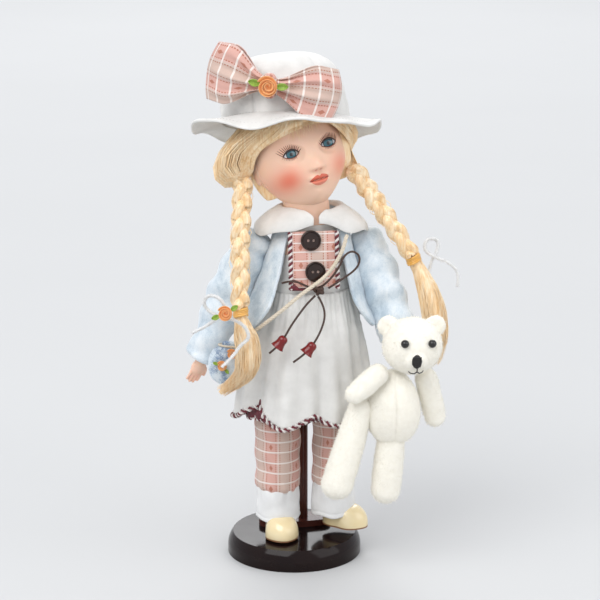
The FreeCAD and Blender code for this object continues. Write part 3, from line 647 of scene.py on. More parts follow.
def make_piece(name: str, shape: bmesh.types.BMesh, materials: Sequence[bpy.types.Material],
               body: str,
               nodes: Sequence[str] = (), wall: float = 0.0, rounds: int = 0) -> bpy.types.Object:
    """Makes the finished object and says where it belongs.

    Args:
        name: The piece's name.
        shape: Its mesh, which is used up.
        materials: Its finishes in order.
        body: The moving body that it rides on.
        nodes: The CAD nodes that it stands for.
        wall: A thickness in millimetres for a sheet.
        rounds: Levels of subdivision.

    Returns:
        The object, at the origin.
    """
    for face in shape.faces:
        face.smooth = True
    mesh = bpy.data.meshes.new(name)
    shape.to_mesh(mesh)
    shape.free()
    piece = bpy.data.objects.new(name, mesh)
    bpy.context.scene.collection.objects.link(piece)
    for material in materials:
        mesh.materials.append(material)
    if wall:
        skin = piece.modifiers.new("thickness", "SOLIDIFY")
        skin.thickness = wall * MM
        skin.offset = 0
    if rounds:
        finer = piece.modifiers.new("smooth", "SUBSURF")
        finer.levels = finer.render_levels = rounds
    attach(piece, body)
    if nodes:
        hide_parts(*nodes)
    log.info("%s on %s", name, body)
    return piece


class Held(Enum):
    """How a sheet of cloth is held."""

    DRAPED = "draped"
    GATHERED = "gathered"
    FOLDED = "folded"
    LAID = "laid"
    STRETCHED = "stretched"


def ring_at(rings: Sequence[tuple[float, float, float, float, float]], height: float) -> tuple[float, ...]:
    """Returns the centre and radii of a stack of ellipses at a height, each given as z, x, y, rx, ry."""
    for low, high in zip(rings, rings[1:]):
        if height <= high[0] or high is rings[-1]:
            share = smooth(-0.2, 1.2, (height - low[0]) / (high[0] - low[0]))
            return tuple(mix(a, b, share) for a, b in zip(low[1:], high[1:]))
    return rings[-1][1:]


def on_ring(rings: Sequence[tuple[float, ...]], turn: float, height: float, out: float = 0.0) -> Vector:
    """Returns the place on a stack of ellipses; a turn of 0 faces forwards and grows to her left."""
    x, y, wide, deep = ring_at(rings, height)
    return Vector((x + (wide + out) * math.sin(turn), y - (deep + out) * math.cos(turn), height))


def twisted(points: Sequence[Vector], radius: float, pitch: float, plies: int = 2) -> list[bmesh.types.BMesh]:
    """Returns the plies of a twisted cord round a line, one mesh each."""
    length = sum((b - a).length for a, b in zip(points, points[1:]))
    rows = max(24, int(length / pitch * 9))
    made = []
    for ply in range(plies):
        line = []
        for step in range(rows + 1):
            share = step / rows
            side, up = across_of(heading(points, share), Vector((0.12, -0.9, 0.3)))
            turn = TAU * (share * length / pitch + ply / plies)
            line.append(along(points, share) + (side * math.cos(turn) + up * math.sin(turn)) * radius * 0.48)
        made.append(new_tube(line, lambda u, v: radius * 0.56, 7, rows, Vector((0.1, -0.2, 1))))
    return made


# ---------------------------------------------------------------------------------- studio
@dataclass
class Studio:
    """A plain pale floor, soft light and the camera."""

    target: Vector = field(default_factory=lambda: Vector((0.0036, -0.0005, 0.163)))
    azimuth: float = math.radians(-8)
    elevation: float = math.radians(14.5)
    distance: float = 1.343
    lens: float = 130.6
    floor_side: float = 14.0

    def build(self) -> None:
        """Makes the camera first, then the lights, the world and the floor."""
        self.add_camera()
        self.add_light("key", (-1.3, -1.5, 2.4), 2.2, 55)
        self.add_light("fill", (1.9, -1.3, 1.4), 2.0, 18)
        self.add_light("back", (0.3, 3.0, 2.6), 3.0, 75)
        self.add_world()
        self.add_floor()

    def add_camera(self) -> None:
        """Makes the camera at the viewing angle."""
        lens = bpy.data.cameras.new("camera")
        lens.lens = self.lens
        lens.sensor_width = 36
        camera = bpy.data.objects.new("camera", lens)
        back = Vector((math.sin(self.azimuth) * math.cos(self.elevation),
                       -math.cos(self.azimuth) * math.cos(self.elevation), math.sin(self.elevation)))
        camera.location = self.target + back * self.distance
        camera.rotation_euler = back.to_track_quat("Z", "Y").to_euler()
        bpy.context.scene.collection.objects.link(camera)
        bpy.context.scene.camera = camera
        bpy.context.scene.view_settings.view_transform = "Standard"

    def add_light(self, name: str, place: tuple[float, float, float], side: float, watts: float) -> None:
        """Adds a square softbox that faces the doll."""
        lamp = bpy.data.lights.new(name, "AREA")
        lamp.size = side
        lamp.energy = watts
        holder = bpy.data.objects.new(name, lamp)
        holder.location = place
        holder.rotation_euler = (Vector(place) - self.target).to_track_quat("Z", "Y").to_euler()
        bpy.context.scene.collection.objects.link(holder)

    def add_world(self) -> None:
        """Sets an even pale surround."""
        world = bpy.data.worlds.new("surround")
        world.use_nodes = True
        sky = world.node_tree.nodes["Background"]
        sky.inputs["Color"].default_value = (0.93, 0.95, 1.0, 1)
        sky.inputs["Strength"].default_value = 0.78
        bpy.context.scene.world = world

    def add_floor(self) -> None:
        """Makes the floor."""
        shape = bmesh.new()
        bmesh.ops.create_grid(shape, x_segments=4, y_segments=4, size=self.floor_side / 2)
        mesh = bpy.data.meshes.new("floor")
        shape.to_mesh(mesh)
        shape.free()
        floor = bpy.data.objects.new("floor", mesh)
        graph = Graph("floor_paper")
        cloud = graph.grain(graph.place(), 3, 2)
        mesh.materials.append(graph.finish({
            "Base Color": graph.blend((0.525, 0.53, 0.53), (0.545, 0.55, 0.55), cloud)}, Roughness=0.9))
        bpy.context.scene.collection.objects.link(floor)


# ---------------------------------------------------------------------------------- cords
def vectors(*points: tuple[float, float, float]) -> list[Vector]:
    """Returns points as vectors."""
    return [Vector(point) for point in points]


def route_curve(name: str, points: Sequence[Vector], radius: float = 0.0) -> bpy.types.Object:
    """Returns a curve object of one smooth line through a route's points, in millimetres.

    Args:
        name: The object's name.
        points: The route.
        radius: The cord's radius, or 0 for a bare line.

    Returns:
        The object, not yet in the scene.
    """
    curve = bpy.data.curves.new(name, "CURVE")
    curve.dimensions = "3D"
    curve.resolution_u = 14
    curve.bevel_depth = radius * MM
    curve.bevel_resolution = 4
    curve.use_fill_caps = True
    spline = curve.splines.new("NURBS")
    spline.points.add(len(points) - 1)
    for point, spot in zip(spline.points, points):
        point.co = (*(spot * MM), 1)
    spline.order_u = 3
    spline.use_endpoint_u = True
    return bpy.data.objects.new(name, curve)


def route_line(points: Sequence[Vector]) -> list[Vector]:
    """Returns the places along a route's smooth line, in millimetres."""
    bare = route_curve("line", points)
    mesh = bpy.data.meshes.new_from_object(bare)
    line = [vert.co / MM for vert in mesh.vertices]
    bpy.data.meshes.remove(mesh)
    bpy.data.objects.remove(bare)
    return line


@dataclass
class Cords:
    """The leather tie, the bag's strap and the chenille hair bows."""

    tie_radius: float = 0.65
    strap_radius: float = 1.25
    bow_radius: float = 1.2
    fibres_per_mm: float = 30.0
    tie_bow: list[Vector] = field(default_factory=lambda: vectors(
        (-11.2, -28, 181), (-5, -32, 184), (3.3, -32.8, 179.5), (10.5, -34.6, 178.5), (17, -36.3, 184.5),
        (22.5, -36.8, 192.5), (25, -36.8, 199), (30.3, -36.6, 202), (35, -36, 198.3), (34.2, -35.6, 191.5),
        (27, -35, 185.5), (16, -34.4, 178.5)))
    right_tail: list[Vector] = field(default_factory=lambda: vectors(
        (8, -35.2, 174.4), (3.5, -37, 171), (-1.7, -38.6, 165), (-7.4, -39.6, 157.4), (-11.4, -40.6, 150.5),
        (-15.5, -40.2, 145), (-20.5, -39.6, 140.8)))
    left_tail: list[Vector] = field(default_factory=lambda: vectors(
        (9.6, -35.6, 174), (12.4, -38.4, 169.5), (13.2, -41, 162.5), (10.5, -43, 155), (6.2, -44.4, 147.6),
        (0.8, -44.6, 141), (-6.6, -43.8, 135.8)))
    strap: list[Vector] = field(default_factory=lambda: vectors(
        (28.6, -25.5, 209), (26.2, -28.6, 201.5), (21.6, -31.4, 194), (15.6, -34.6, 187), (7.6, -36.6, 181.4),
        (-1.5, -37.2, 175.6), (-11, -37, 167.5), (-19.5, -34, 160), (-27, -28.5, 152.6),
        (-33.5, -22.5, 146.6)))
    right_bow: list[Vector] = field(default_factory=lambda: vectors(
        (-65, -20, 150), (-58, -24, 154), (-52.5, -33, 161), (-47, -45, 168), (-49, -47, 177),
        (-57, -43, 180),
        (-61, -41, 173), (-54, -43, 166.5), (-44, -46.5, 165), (-36, -48, 161), (-33, -48, 153),
        (-39, -48, 149), (-43.5, -48.5, 142), (-50, -47, 135.5)))
    left_bow: list[Vector] = field(default_factory=lambda: vectors(
        (100, -12, 171), (101.5, -12.4, 179), (95, -11.6, 186.5), (86, -10.6, 189.5), (79, -8, 194),
        (82, -5.5, 201), (89.5, -5.5, 199.5), (88, -7, 192.5), (82.5, -9, 183.5), (82, -9, 174)))

    def build(self) -> None:
        """Makes every cord."""
        leather = Thread("dark_leather_lace", (0.075, 0.035, 0.022), (0.022, 0.010, 0.007),
                         0.5, 0.08, 0.45, 0.0)
        lace = leather.material()
        self.add_lace("leather_bow", self.tie_bow, lace, "doll", "tie_bow")
        self.add_lace("right_lace_tail", self.right_tail, lace, "tie_tails", "right_tie_tail")
        self.add_lace("left_lace_tail", self.left_tail, lace, "tie_tails", "left_tie_tail")
        knot = vectors((8.2, -35.2, 176.2), (11.8, -35.8, 179.4), (11.4, -38.2, 177), (8.4, -37.8, 179.8),
                       (7.6, -36, 177.6),
                       (12.2, -36.6, 176.2), (10.4, -38.6, 179.2), (9, -36.6, 175.2))
        make_piece("leather_knot", new_tube(knot, lambda u, v: 0.95, 10, 90), [lace], "doll")
        self.add_strap()
        chenille = Thread("white_chenille_pile", (0.93, 0.93, 0.92), (0.74, 0.74, 0.73),
                          0.5, 0.3, 0.95, 0.8).material()
        self.add_chenille("right_chenille_bow", self.right_bow, chenille, "right_hair", "right_bow", 0.1206)
        self.add_chenille("left_chenille_bow", self.left_bow, chenille, "left_hair", "left_bow", 0.0749)

    def add_lace(self, name: str, route: list[Vector], material: bpy.types.Material, body: str, node: str) -> None:
        """Makes one leather lace as a curve."""
        lace = route_curve(name, route, self.tie_radius)
        lace.data.materials.append(material)
        bpy.context.scene.collection.objects.link(lace)
        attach(lace, body)
        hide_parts(node)
        log.info("%s on %s", name, body)

    def add_strap(self) -> None:
        """Makes the bag's twisted strap."""
        line = route_line(self.strap)
        yarn = Thread("cream_strap_yarn", (0.80, 0.73, 0.60), (0.52, 0.44, 0.33), 0.5, 0.2).material()
        shape = joined([(ply, 0) for ply in twisted(line[::3] + [line[-1]], self.strap_radius, 6.5, 3)])
        strap = make_piece("twisted_strap", shape, [yarn], "doll", ["bag_strap"])

    def add_chenille(self, name: str, route: list[Vector], material: bpy.types.Material, body: str, node: str,
                     length: float) -> None:
        """Makes one bow of chenille: a core with short fibres all round."""
        line = route_line(route)
        chance = random.Random(name)
        core = new_tube(line, lambda u, v: self.bow_radius * (0.62 + 0.1 * math.sin(40 * u + 300 * v)), 10,
                        len(line), Vector((0.2, 0.3, 1)))
        fibres = []
        for _ in range(int(length * 1000 * self.fibres_per_mm)):
            share = chance.random()
            way = heading(line, share)
            side, up = across_of(way, Vector((0.2, 0.3, 1)))
            turn = chance.random() * TAU
            out = side * math.cos(turn) + up * math.sin(turn) + way * chance.uniform(-0.3, 0.3)
            root = along(line, share) + out * self.bow_radius * 0.45
            fibres.append([root, root + out * self.bow_radius * chance.uniform(0.45, 0.72)])
        shape = joined([(core, 0), (new_strands(fibres, 0.11, 0.5), 0)])
        bow = make_piece(name, shape, [material], body, [node])


# ---------------------------------------------------------------------------------- ribbon flowers
def ribbon_rose(centre: Vector, facing: Vector, radius: float, leaves: Sequence[float]) -> bmesh.types.BMesh:
    """Returns a rose wound from ribbon, with leaves.

    Args:
        centre: The rose's middle in millimetres.
        facing: The direction that it opens to.
        radius: Its radius.
        leaves: The turn of each leaf about it, in radians.

    Returns:
        The mesh, petals with material 0 and leaves with material 1.
    """
    def petal(u: float, v: float) -> Vector:
        """Returns a place on the wound ribbon."""
        turn = u * TAU * 3.4
        out = radius * (0.08 + 0.60 * u + (0.16 + 0.22 * u) * v + 0.07 * v * math.sin(turn * 1.25))
        return Vector((out * math.cos(turn), out * math.sin(turn), radius * (0.62 * v - 0.42 * u * u)))

    def leaf(u: float, v: float) -> Vector:
        """Returns a place on one folded leaf."""
        half = radius * 0.36 * math.sin(math.pi * min(1.0, v * 1.0)) ** 0.7
        return Vector((radius * (0.7 + 1.25 * v),
                       (u * 2 - 1) * half, radius * (0.25 * abs(u * 2 - 1) - 0.3 + 0.2 * v)))

    turn = Vector((0, 0, 1)).rotation_difference(facing.normalized()).to_matrix().to_4x4()
    place = Matrix.Translation(centre) @ turn
    wound = new_grid(96, 5, petal)
    bmesh.ops.solidify(wound, geom=wound.faces[:], thickness=0.25 * MM)
    bud = new_ball(24, 14, lambda way: Vector((way.x * 0.80, way.y * 0.80, way.z * 0.34 - 0.22)) * radius)
    shapes = [(shifted(wound, place), 0), (shifted(bud, place), 0)]
    for angle in leaves:
        blade = new_grid(6, 10, leaf)
        bmesh.ops.solidify(blade, geom=blade.faces[:], thickness=0.25 * MM)
        shapes.append((shifted(blade, place @ Matrix.Rotation(angle, 4, "Z")), 1))
    return joined(shapes)


@dataclass(frozen=True)
class Ribbon:
    """The satin of the roses and their leaves."""

    petal: Colour = (0.93, 0.52, 0.22)
    petal_shade: Colour = (0.84, 0.36, 0.12)
    leaf: Colour = (0.33, 0.50, 0.06)
    leaf_shade: Colour = (0.16, 0.28, 0.03)

    def materials(self) -> list[bpy.types.Material]:
        """Returns the petals' and the leaves' satin."""
        return [Thread("rose_satin", self.petal, self.petal_shade, 0.9, 0.12, 0.4, 0.5).material(),
                Thread("leaf_satin", self.leaf, self.leaf_shade, 0.9, 0.12, 0.4, 0.5).material()]


# ---------------------------------------------------------------------------------- head
@dataclass
class Head:
    """The porcelain head: its face, neck and shoulder plate, its eyes, and what is painted on it."""

    centre: Vector = field(default_factory=lambda: Vector((1.84, -2.09, 255.0)))
    turns: tuple[float, float, float] = (10.7, -10.8, -13.2)
    scale: float = 1.031
    half: Vector = field(default_factory=lambda: Vector((28, 29, 33)))
    eye_out: float = 11.8
    eye_up: float = 2.5
    eye_deep: float = 18.5
    eye_ball: float = 7.0
    lid_half: float = 4.8
    lid_rise: float = 2.9
    lid_drop: float = 2.0
    mouth_up: float = -15.6
    mouth_half: float = 6.0
    neck_radius: float = 13.4

    @property
    def place(self) -> Matrix:
        """Returns the head's own frame, with its shift in millimetres."""
        around, nod, lean = (math.radians(turn) for turn in self.turns)
        return (Matrix.Translation(self.centre) @ Matrix.Rotation(around, 4, "Z")
                @ Matrix.Rotation(nod, 4, "X")
                @ Matrix.Rotation(lean, 4, "Y") @ Matrix.Scale(self.scale, 4))

    def taper(self, up: float) -> float:
        """Returns how much the jaw narrows the head at a height."""
        return 1 - 0.15 * (1 - smooth(-30, -6, up))

    def lip_top(self, across: float) -> float:
        """Returns the height of the upper lip's edge, with its bow."""
        arch = max(0.0, 1 - (across / self.mouth_half) ** 2) ** 0.7
        return self.mouth_up + 3.0 * arch - 0.8 * bump_at(across, 0, 0.9)

    def lip_line(self, across: float) -> float:
        """Returns the height of the line where the lips meet."""
        return self.mouth_up + 0.35 * bump_at(abs(across), 1.7, 1.3) - 0.15 * bump_at(across, 0, 0.8)

    def lip_foot(self, across: float) -> float:
        """Returns the height of the lower lip's edge."""
        return self.mouth_up - 3.5 * max(0.0, 1 - (across / (self.mouth_half - 0.5)) ** 2) ** 0.75

    def lid_edge(self, share: float, upper: bool) -> tuple[float, float]:
        """Returns a place on an eye's opening, from its middle, for a share from -1 to 1."""
        arch = max(0.0, 1 - share ** 2) ** 0.8
        rise = self.lid_rise if upper else -self.lid_drop
        return share * self.lid_half, rise * arch

    def skin(self, across: float, up: float, opened: bool = False) -> float:
        """Returns the face's depth at a place in its own frame.

        Args:
            across: The place to her left.
            up: The place's height.
            opened: Whether the skin dips behind the eyeballs.

        Returns:
            The Y of the surface, which is negative.
        """
        x = across / self.taper(up)
        side = abs(x)
        left = max(0.02, 1 - (x / self.half.x) ** 2 - (up / self.half.z) ** 2)
        depth = self.half.y * math.sqrt(left)
        fade = smooth(0.02, 0.25, left)
        bridge = 1 - smooth(-7, 5, up)
        nose = 4.9 * bridge ** 2.3 * smooth(-10.6, -8.3, up) * math.exp(-((x / mix(3.2, 3.9, bridge)) ** 2))
        wings = 1.3 * bump_at(side, 3.4, 1.4) * bump_at(up, -8.3, 1.5)
        wings -= 0.8 * bump_at(side, 1.3, 0.7) * bump_at(up, -9.9, 0.7)
        hold = max(0.0, 1 - (x / 7.0) ** 2) ** 0.5
        muzzle = 2.0 * bump_at(x, 0, 9) * bump_at(up, -15, 7)
        pout = 1.2 * bump_at(up, -14.0, 1.2) + 1.6 * bump_at(up, -17.4, 1.4)
        lips = hold * (pout - 1.1 * bump_at(up, self.mouth_up, 0.45))
        lips -= (0.5 * bump_at(x, 0, 0.9) * bump_at(up, -11.4, 1.3)
                 + 0.6 * bump_at(x, 0, 3.5) * bump_at(up, -20.3, 1.1))
        cheek = 1.5 * bump_at(side, 14, 8) * bump_at(up, -10, 9)
        chin = 2.6 * bump_at(x, 0, 6.5) * bump_at(up, -25, 4.6)
        depth += fade * (nose + wings + muzzle + lips + cheek + chin)
        dx, dz = side - self.eye_out, up - self.eye_up
        reach = math.hypot(dx, dz * 1.25)
        if reach < 9:
            lid = self.eye_deep + math.sqrt(max(0.0, self.eye_ball ** 2 - dx * dx - dz * dz)) + 0.75
            depth = mix(lid, depth, smooth(3.2, 8.0, reach))
            depth -= (0.35 * bump_at(dz, self.lid_rise + 1.3 - 0.06 * dx * dx, 0.5)
                      * (1 - smooth(3, 6, abs(dx))))
        if opened and abs(dx) < self.lid_half:
            arch = max(0.0, 1 - (dx / self.lid_half) ** 2) ** 0.8
            edge = dz / (self.lid_rise if dz > 0 else self.lid_drop) / max(arch, 0.05)
            depth -= 3.2 * (1 - smooth(0.86, 1.08, abs(edge)))
        return -depth

    def on_skin(self, across: float, up: float, out: float = 0.12) -> Vector:
        """Returns a place just proud of the skin, in millimetres in the doll's frame."""
        return self.place @ Vector((across, self.skin(across, up) - out, up))

    def blush_at(self, spot: Vector) -> float:
        """Returns how strongly a place is rouged."""
        own = self.place.inverted() @ spot
        if own.y > 0:
            return 0.0
        right = 0.92 * bump_at(math.hypot(own.x + 16.5, (own.z + 12) * 0.95), 0, 7.2)
        left = 0.62 * bump_at(math.hypot(own.x - 16.0, own.z + 11), 0, 7.5)
        nose = 0.16 * bump_at(math.hypot(own.x, own.z + 8), 0, 3.2)
        brow = 0.10 * bump_at(abs(own.x), self.eye_out, 6) * bump_at(own.z, 7, 3)
        return min(1.0, right + left + nose + brow)

    def deep_at(self, spot: Vector) -> float:
        """Returns how dark the painted hollows of the nostrils are."""
        own = self.place.inverted() @ spot
        if own.y > 0:
            return 0.0
        nostril = 0.75 * bump_at(math.hypot(abs(own.x) - 1.5, (own.z + 9.8) * 1.3), 0, 0.7)
        return min(1.0, nostril)

    def build(self) -> None:
        """Makes the head, the eyes and the paint."""
        skin = Bisque().material()
        self.add_porcelain(skin)
        self.add_eyes()
        self.add_lips()
        self.add_lashes()

    def add_porcelain(self, skin: bpy.types.Material) -> None:
        """Makes the head with its ears, and the neck and shoulder plate in one."""
        temple, seam = 24, 0.12

        def face(way: Vector) -> Vector:
            """Returns the head's surface for a direction."""
            spot = Vector((way.x * self.half.x, way.y * self.half.y, way.z * self.half.z))
            spot.x *= self.taper(spot.z)
            if way.y >= 0:
                return spot
            front = self.skin(spot.x, spot.z, True)
            if abs(spot.x) > temple:
                spot.y = min(spot.y, front)
            elif way.y < -seam:
                spot.y = front
            else:
                spot.y = mix(spot.y, front, -way.y / seam)
            return spot

        skull = shifted(new_ball(300, 200, face), self.place)
        ears = []
        for side in (-1, 1):
            ear = new_ball(20, 14, lambda way: Vector((
                side * 26.6 + way.x * 2.4, 1.5 + way.y * 4.6, -4.5 + way.z * 7.2 - 0.8 * way.y)))
            ears.append((shifted(ear, self.place), 0))
        foot, top = Vector((9.5, -5, 193)), Vector((4.6, -4.4, 238))
        line = [foot, Vector((9, -5, 204)), Vector((7.6, -4.8, 218)), top]
        neck = new_tube(
            line, lambda u, v: self.neck_radius * (1 + 0.42 * (1 - smooth(0, 0.42, v)) + 0.05 * v), 48, 30)
        plate = new_ball(64, 40, lambda way: Vector((
            8 + way.x * 21, -7.5 + way.y * 15, 196 + max(way.z, 0.0) * 14.6)))
        whole = painted(joined([(skull, 0), *ears, (neck, 0), (plate, 0)]), {
            "blush": self.blush_at, "lips": lambda spot: 0.0, "deep": self.deep_at,
            "lash_line": lambda spot: 0.0})
        make_piece("porcelain_head", whole, [skin], "doll", ["shoulder_head"])

    def add_eyes(self) -> None:
        """Makes the two eyeballs, each painted by its turn from its line of sight."""
        balls = []
        for side in (-1, 1):
            middle = Vector((side * self.eye_out, -self.eye_deep, self.eye_up))
            gaze = Vector((side * -0.01, -1, 0.02)).normalized()
            ball = new_ball(72, 48, lambda way: middle + way * self.eye_ball * 0.985)
            painted(ball, {"turn": lambda spot: math.degrees(gaze.angle(spot - middle)) / 32})
            balls.append((shifted(ball, self.place), 0))
        make_piece("glass_eye_pair", joined(balls), [EyeGlass().material()],
                   "doll", ["glass_eyes"])

    def add_lips(self) -> None:
        """Makes the painted lips as thin glossy patches that follow the skin."""
        def patch(low: Callable[[float], float], high: Callable[[float], float],
                  out: float) -> bmesh.types.BMesh:
            """Returns a patch of paint between two edges."""
            def place(u: float, v: float) -> Vector:
                """Returns a place on the patch, which thins towards its two edges."""
                across = mix(-self.mouth_half, self.mouth_half, u)
                proud = out * min(1.0, 6 * v + 0.3, 6 * (1 - v) + 0.3)
                return self.on_skin(across, mix(low(across), high(across), v), proud)

            return new_grid(40, 10, place)

        upper = patch(self.lip_line, self.lip_top, 0.16)
        lower = patch(self.lip_foot, lambda x: self.lip_line(x) - 0.12, 0.18)
        parting = patch(lambda x: self.lip_line(x) - 0.24, lambda x: self.lip_line(x) + 0.16, 0.22)
        paints = [Gloss(*look, 600, 0.02).material() for look in (
            ("coral_lip_paint", (0.60, 0.10, 0.05), (0.70, 0.17, 0.10), 0.35, 0.2),
            ("pale_lip_paint", (0.66, 0.14, 0.08), (0.76, 0.24, 0.15), 0.33, 0.25),
            ("lip_line_paint", (0.25, 0.02, 0.015), (0.34, 0.04, 0.03), 0.4, 0.2))]
        shape = joined([(upper, 0), (lower, 1), (parting, 2)])
        make_piece("painted_lips", shape, paints, "doll")

    def add_lashes(self) -> None:
        """Makes the lid lines and the fine painted lashes."""
        lids, strokes, low = [], [], []
        for side in (-1, 1):
            def spot(dx: float, dz: float, out: float = 0.1) -> Vector:
                """Returns a place on the skin near this eye; dx grows towards the temple."""
                return self.on_skin(side * (self.eye_out + dx), self.eye_up + dz, out)

            upper = [spot(*self.lid_edge(mix(-1, 1, step / 16), True), 0.0) for step in range(17)]
            lower = [spot(*self.lid_edge(mix(-1, 1, step / 16), False), -0.15) for step in range(17)]
            lids.append((new_tube(upper, lambda u, v: mix(0.2, 0.6, math.sin(math.pi * v) ** 0.6), 8, 32), 0))
            lids.append((new_tube(lower, lambda u, v: 0.22, 8, 32), 1))
            for step in range(14):
                share = mix(-0.98, 1.04, step / 13)
                dx, dz = self.lid_edge(max(-1, min(1, share)), True)
                reach = 3.4 + 0.9 * share
                stoop = 1 - 0.25 * abs(share)
                strokes.append([spot(dx + reach * 0.62 * share * part, dz + 0.1 + reach * part * stoop)
                                for part in (0, 0.35, 0.7, 1)])
            for step in range(11):
                share = mix(-0.5, 1.0, step / 10)
                dx, dz = self.lid_edge(share, False)
                low.append([spot(dx + 0.6 * share * part, dz - 0.15 - 1.3 * part) for part in (0, 0.5, 1)])
        black = Gloss("lid_paint", (0.016, 0.007, 0.005), (0.035, 0.014, 0.010), 0.35, 0.3).material()
        brown = Gloss("lash_paint", (0.17, 0.035, 0.02), (0.26, 0.07, 0.04), 0.5, 0.1).material()
        shape = joined(lids + [(new_strands(strokes, 0.22, 0.15), 1), (new_strands(low, 0.11, 0.3), 1)])
        make_piece("painted_lashes", shape, [black, brown], "doll")


# ---------------------------------------------------------------------------------- hair
@dataclass
class HairPieces:
    """The wig, its swept sides and fringe, and the two braids with their tails, bands and rose."""

    head: Head
    cap: float = 3.0
    strand: float = 0.2
    braid_half: float = 5.6
    right_root: Vector = field(default_factory=lambda: Vector((-32.5, -10.6, 241.4)))
    left_root: Vector = field(default_factory=lambda: Vector((35, -8.5, 246)))
    right_braid: list[Vector] = field(default_factory=lambda: vectors(
        (-32.5, -10.6, 241.4), (-34, -17, 226), (-36, -24.5, 208), (-36.5, -29, 188), (-37.4, -33.1, 168)))
    left_braid: list[Vector] = field(default_factory=lambda: vectors(
        (35, -8.5, 246), (42, -9.5, 236.5), (47.5, -12, 227.5), (54.1, -14, 217.7), (62, -16.5, 206),
        (69.8, -18, 193.5)))
    sweep_strands: tuple[int, int] = (860, 560)
    fringe_wisps: int = 95
    lock_strands: int = 46
    stray_hairs: int = 26
    tail_strands: int = 720
    right_tail: list[Vector] = field(default_factory=lambda: vectors(
        (-37.2, -33.5, 164), (-35.5, -36, 154), (-33, -38.2, 142), (-36, -38.5, 128), (-50, -35, 116)))
    left_tail: list[Vector] = field(default_factory=lambda: vectors(
        (71.5, -18.2, 190), (79, -19.5, 174), (84.5, -20, 154), (86, -19.5, 138), (84.5, -19, 124)))

    def build(self) -> None:
        """Makes every piece of hair."""
        hair = Hair().material()
        band = Gloss("amber_band_rubber", (0.72, 0.36, 0.06), (0.86, 0.52, 0.16),
                     0.3, 0.4, 500, 0.1).material()
        self.add_wig(hair)
        for side, braid, tail, curl in (("right", self.right_braid, self.right_tail, -1),
                                        ("left", self.left_braid, self.left_tail, 1)):
            self.add_braid(side, braid, hair)
            self.add_band(side, braid[-1], tail, band)
            self.add_tail(side, tail, hair, curl)
        rose = ribbon_rose(Vector((-48, -51.5, 169.4)), Vector((-0.2, -1, 0.3)), 4.6, (0.4, 3.3))
        make_piece("braid_ribbon_rose", rose, Ribbon().materials(),
                   "right_hair", ["braid_rose"])

    def add_wig(self, hair: bpy.types.Material) -> None:
        """Makes the wig's cap and the hair that sweeps over the temples to the braids."""
        head = self.head

        def cap(way: Vector) -> Vector:
            """Returns the wig's surface, which dips under the skin where the face shows."""
            across, up = way.x * head.half.x, way.z * head.half.z
            if across < 0:
                bare = 1 - smooth(0.0, 0.14, way.y + 0.30 * smooth(2, 14, up))
                bare *= 1 - smooth(12, 18, up + 0.010 * across * across)
            else:
                bare = (1 - smooth(21.0, 24.5, across)) * (1 - smooth(-0.30, -0.12, way.y))
                bare *= 1 - smooth(13, 19, up + 0.012 * across * across)
            under = 1 - smooth(-25, -19, up)
            out = mix(self.cap + 0.12 * math.sin(60 * math.atan2(way.x, -way.y)), -4.0, max(bare, under))
            return Vector((way.x * (head.half.x + out), way.y * (head.half.y + out),
                           way.z * (head.half.z + out)))

        shapes = [(shifted(new_ball(180, 110, cap), head.place), 0)]
        chance = random.Random(7)
        inverse = head.place.inverted()
        right_end, left_end = inverse @ self.right_root, inverse @ self.left_root
        sweeps = [
            (vectors((0, -20, 28), (-13, -27, 17), (-25, -15.5, 9), (-30, -5, -1)) + [right_end], vectors(
                (2, 20, 30), (-22, 21, 16), (-33, 13, 3), (-36, 4, -8)) + [right_end], self.sweep_strands[0]),
            (vectors((4, -20, 28), (14, -27.6, 18), (22, -23, 7), (27.5, -14.5, -4)) + [left_end], vectors(
                (2, 20, 30), (22, 21, 16), (31, 13, 3), (33, 4, -8)) + [left_end], self.sweep_strands[1])]
        lines = []
        for front, back, count in sweeps:
            end = front[-1]
            for _ in range(count):
                share = chance.random() ** 1.25
                lift = chance.uniform(-0.4, 1.1)
                depth = chance.uniform(0.15, 1) ** 0.6 * (19 if end is right_end else 5)
                wander = chance.uniform(-0.5, 0.5)
                line = []
                for step in range(13):
                    part = step / 12
                    one, other = along(front, part), along(back, part)
                    spot = one.lerp(other, share)
                    out = Vector((spot.x / head.half.x, spot.y / head.half.y, spot.z / head.half.z))
                    puff = depth * smooth(0.15, 0.55, part) * smooth(0.0, 0.35, share)
                    want = 1 + (self.cap + 0.9 + lift + puff) / 29
                    if part < 0.82 and out.length > 0.01:
                        spot = spot * mix(want / out.length, 1, smooth(0.6, 0.82, part))
                    spot = spot + Vector((0.2, 0.5, 0.8)) * wander * math.sin(part * 9 + share * 20) * 0.7
                    ring = 4.2 * smooth(0.75, 1, part)
                    spot = spot + Vector((
                        math.cos(share * TAU), math.sin(share * TAU) * 0.8, 0.3 * lift)) * ring * 0.8
                    line.append(head.place @ spot)
                lines.append(line)
        shapes.append((new_strands(lines, self.strand * 1.35, 0.8), 0))
        shapes.append((new_strands(self.fringe(chance), 0.12, 0.25), 0))
        make_piece("blonde_wig", joined(shapes), [hair], "doll", ["wig"])

    def fringe(self, chance: random.Random) -> list[list[Vector]]:
        """Returns the thin wisps on the forehead."""
        lines = []
        for _ in range(self.fringe_wisps):
            start = chance.uniform(-14, 9)
            drop = chance.uniform(5, 13) * (1 - 0.25 * abs(start + 3) / 12)
            lean = chance.uniform(-3.5, 1.5)
            line = []
            for part in (0, 0.2, 0.4, 0.6, 0.8, 1):
                lift = 0.5 + 1.4 * math.sin(math.pi * part) + 0.4 * (1 - part)
                line.append(self.head.on_skin(start + lean * part * part, 21 - drop * part, lift))
            lines.append(line)
        return lines

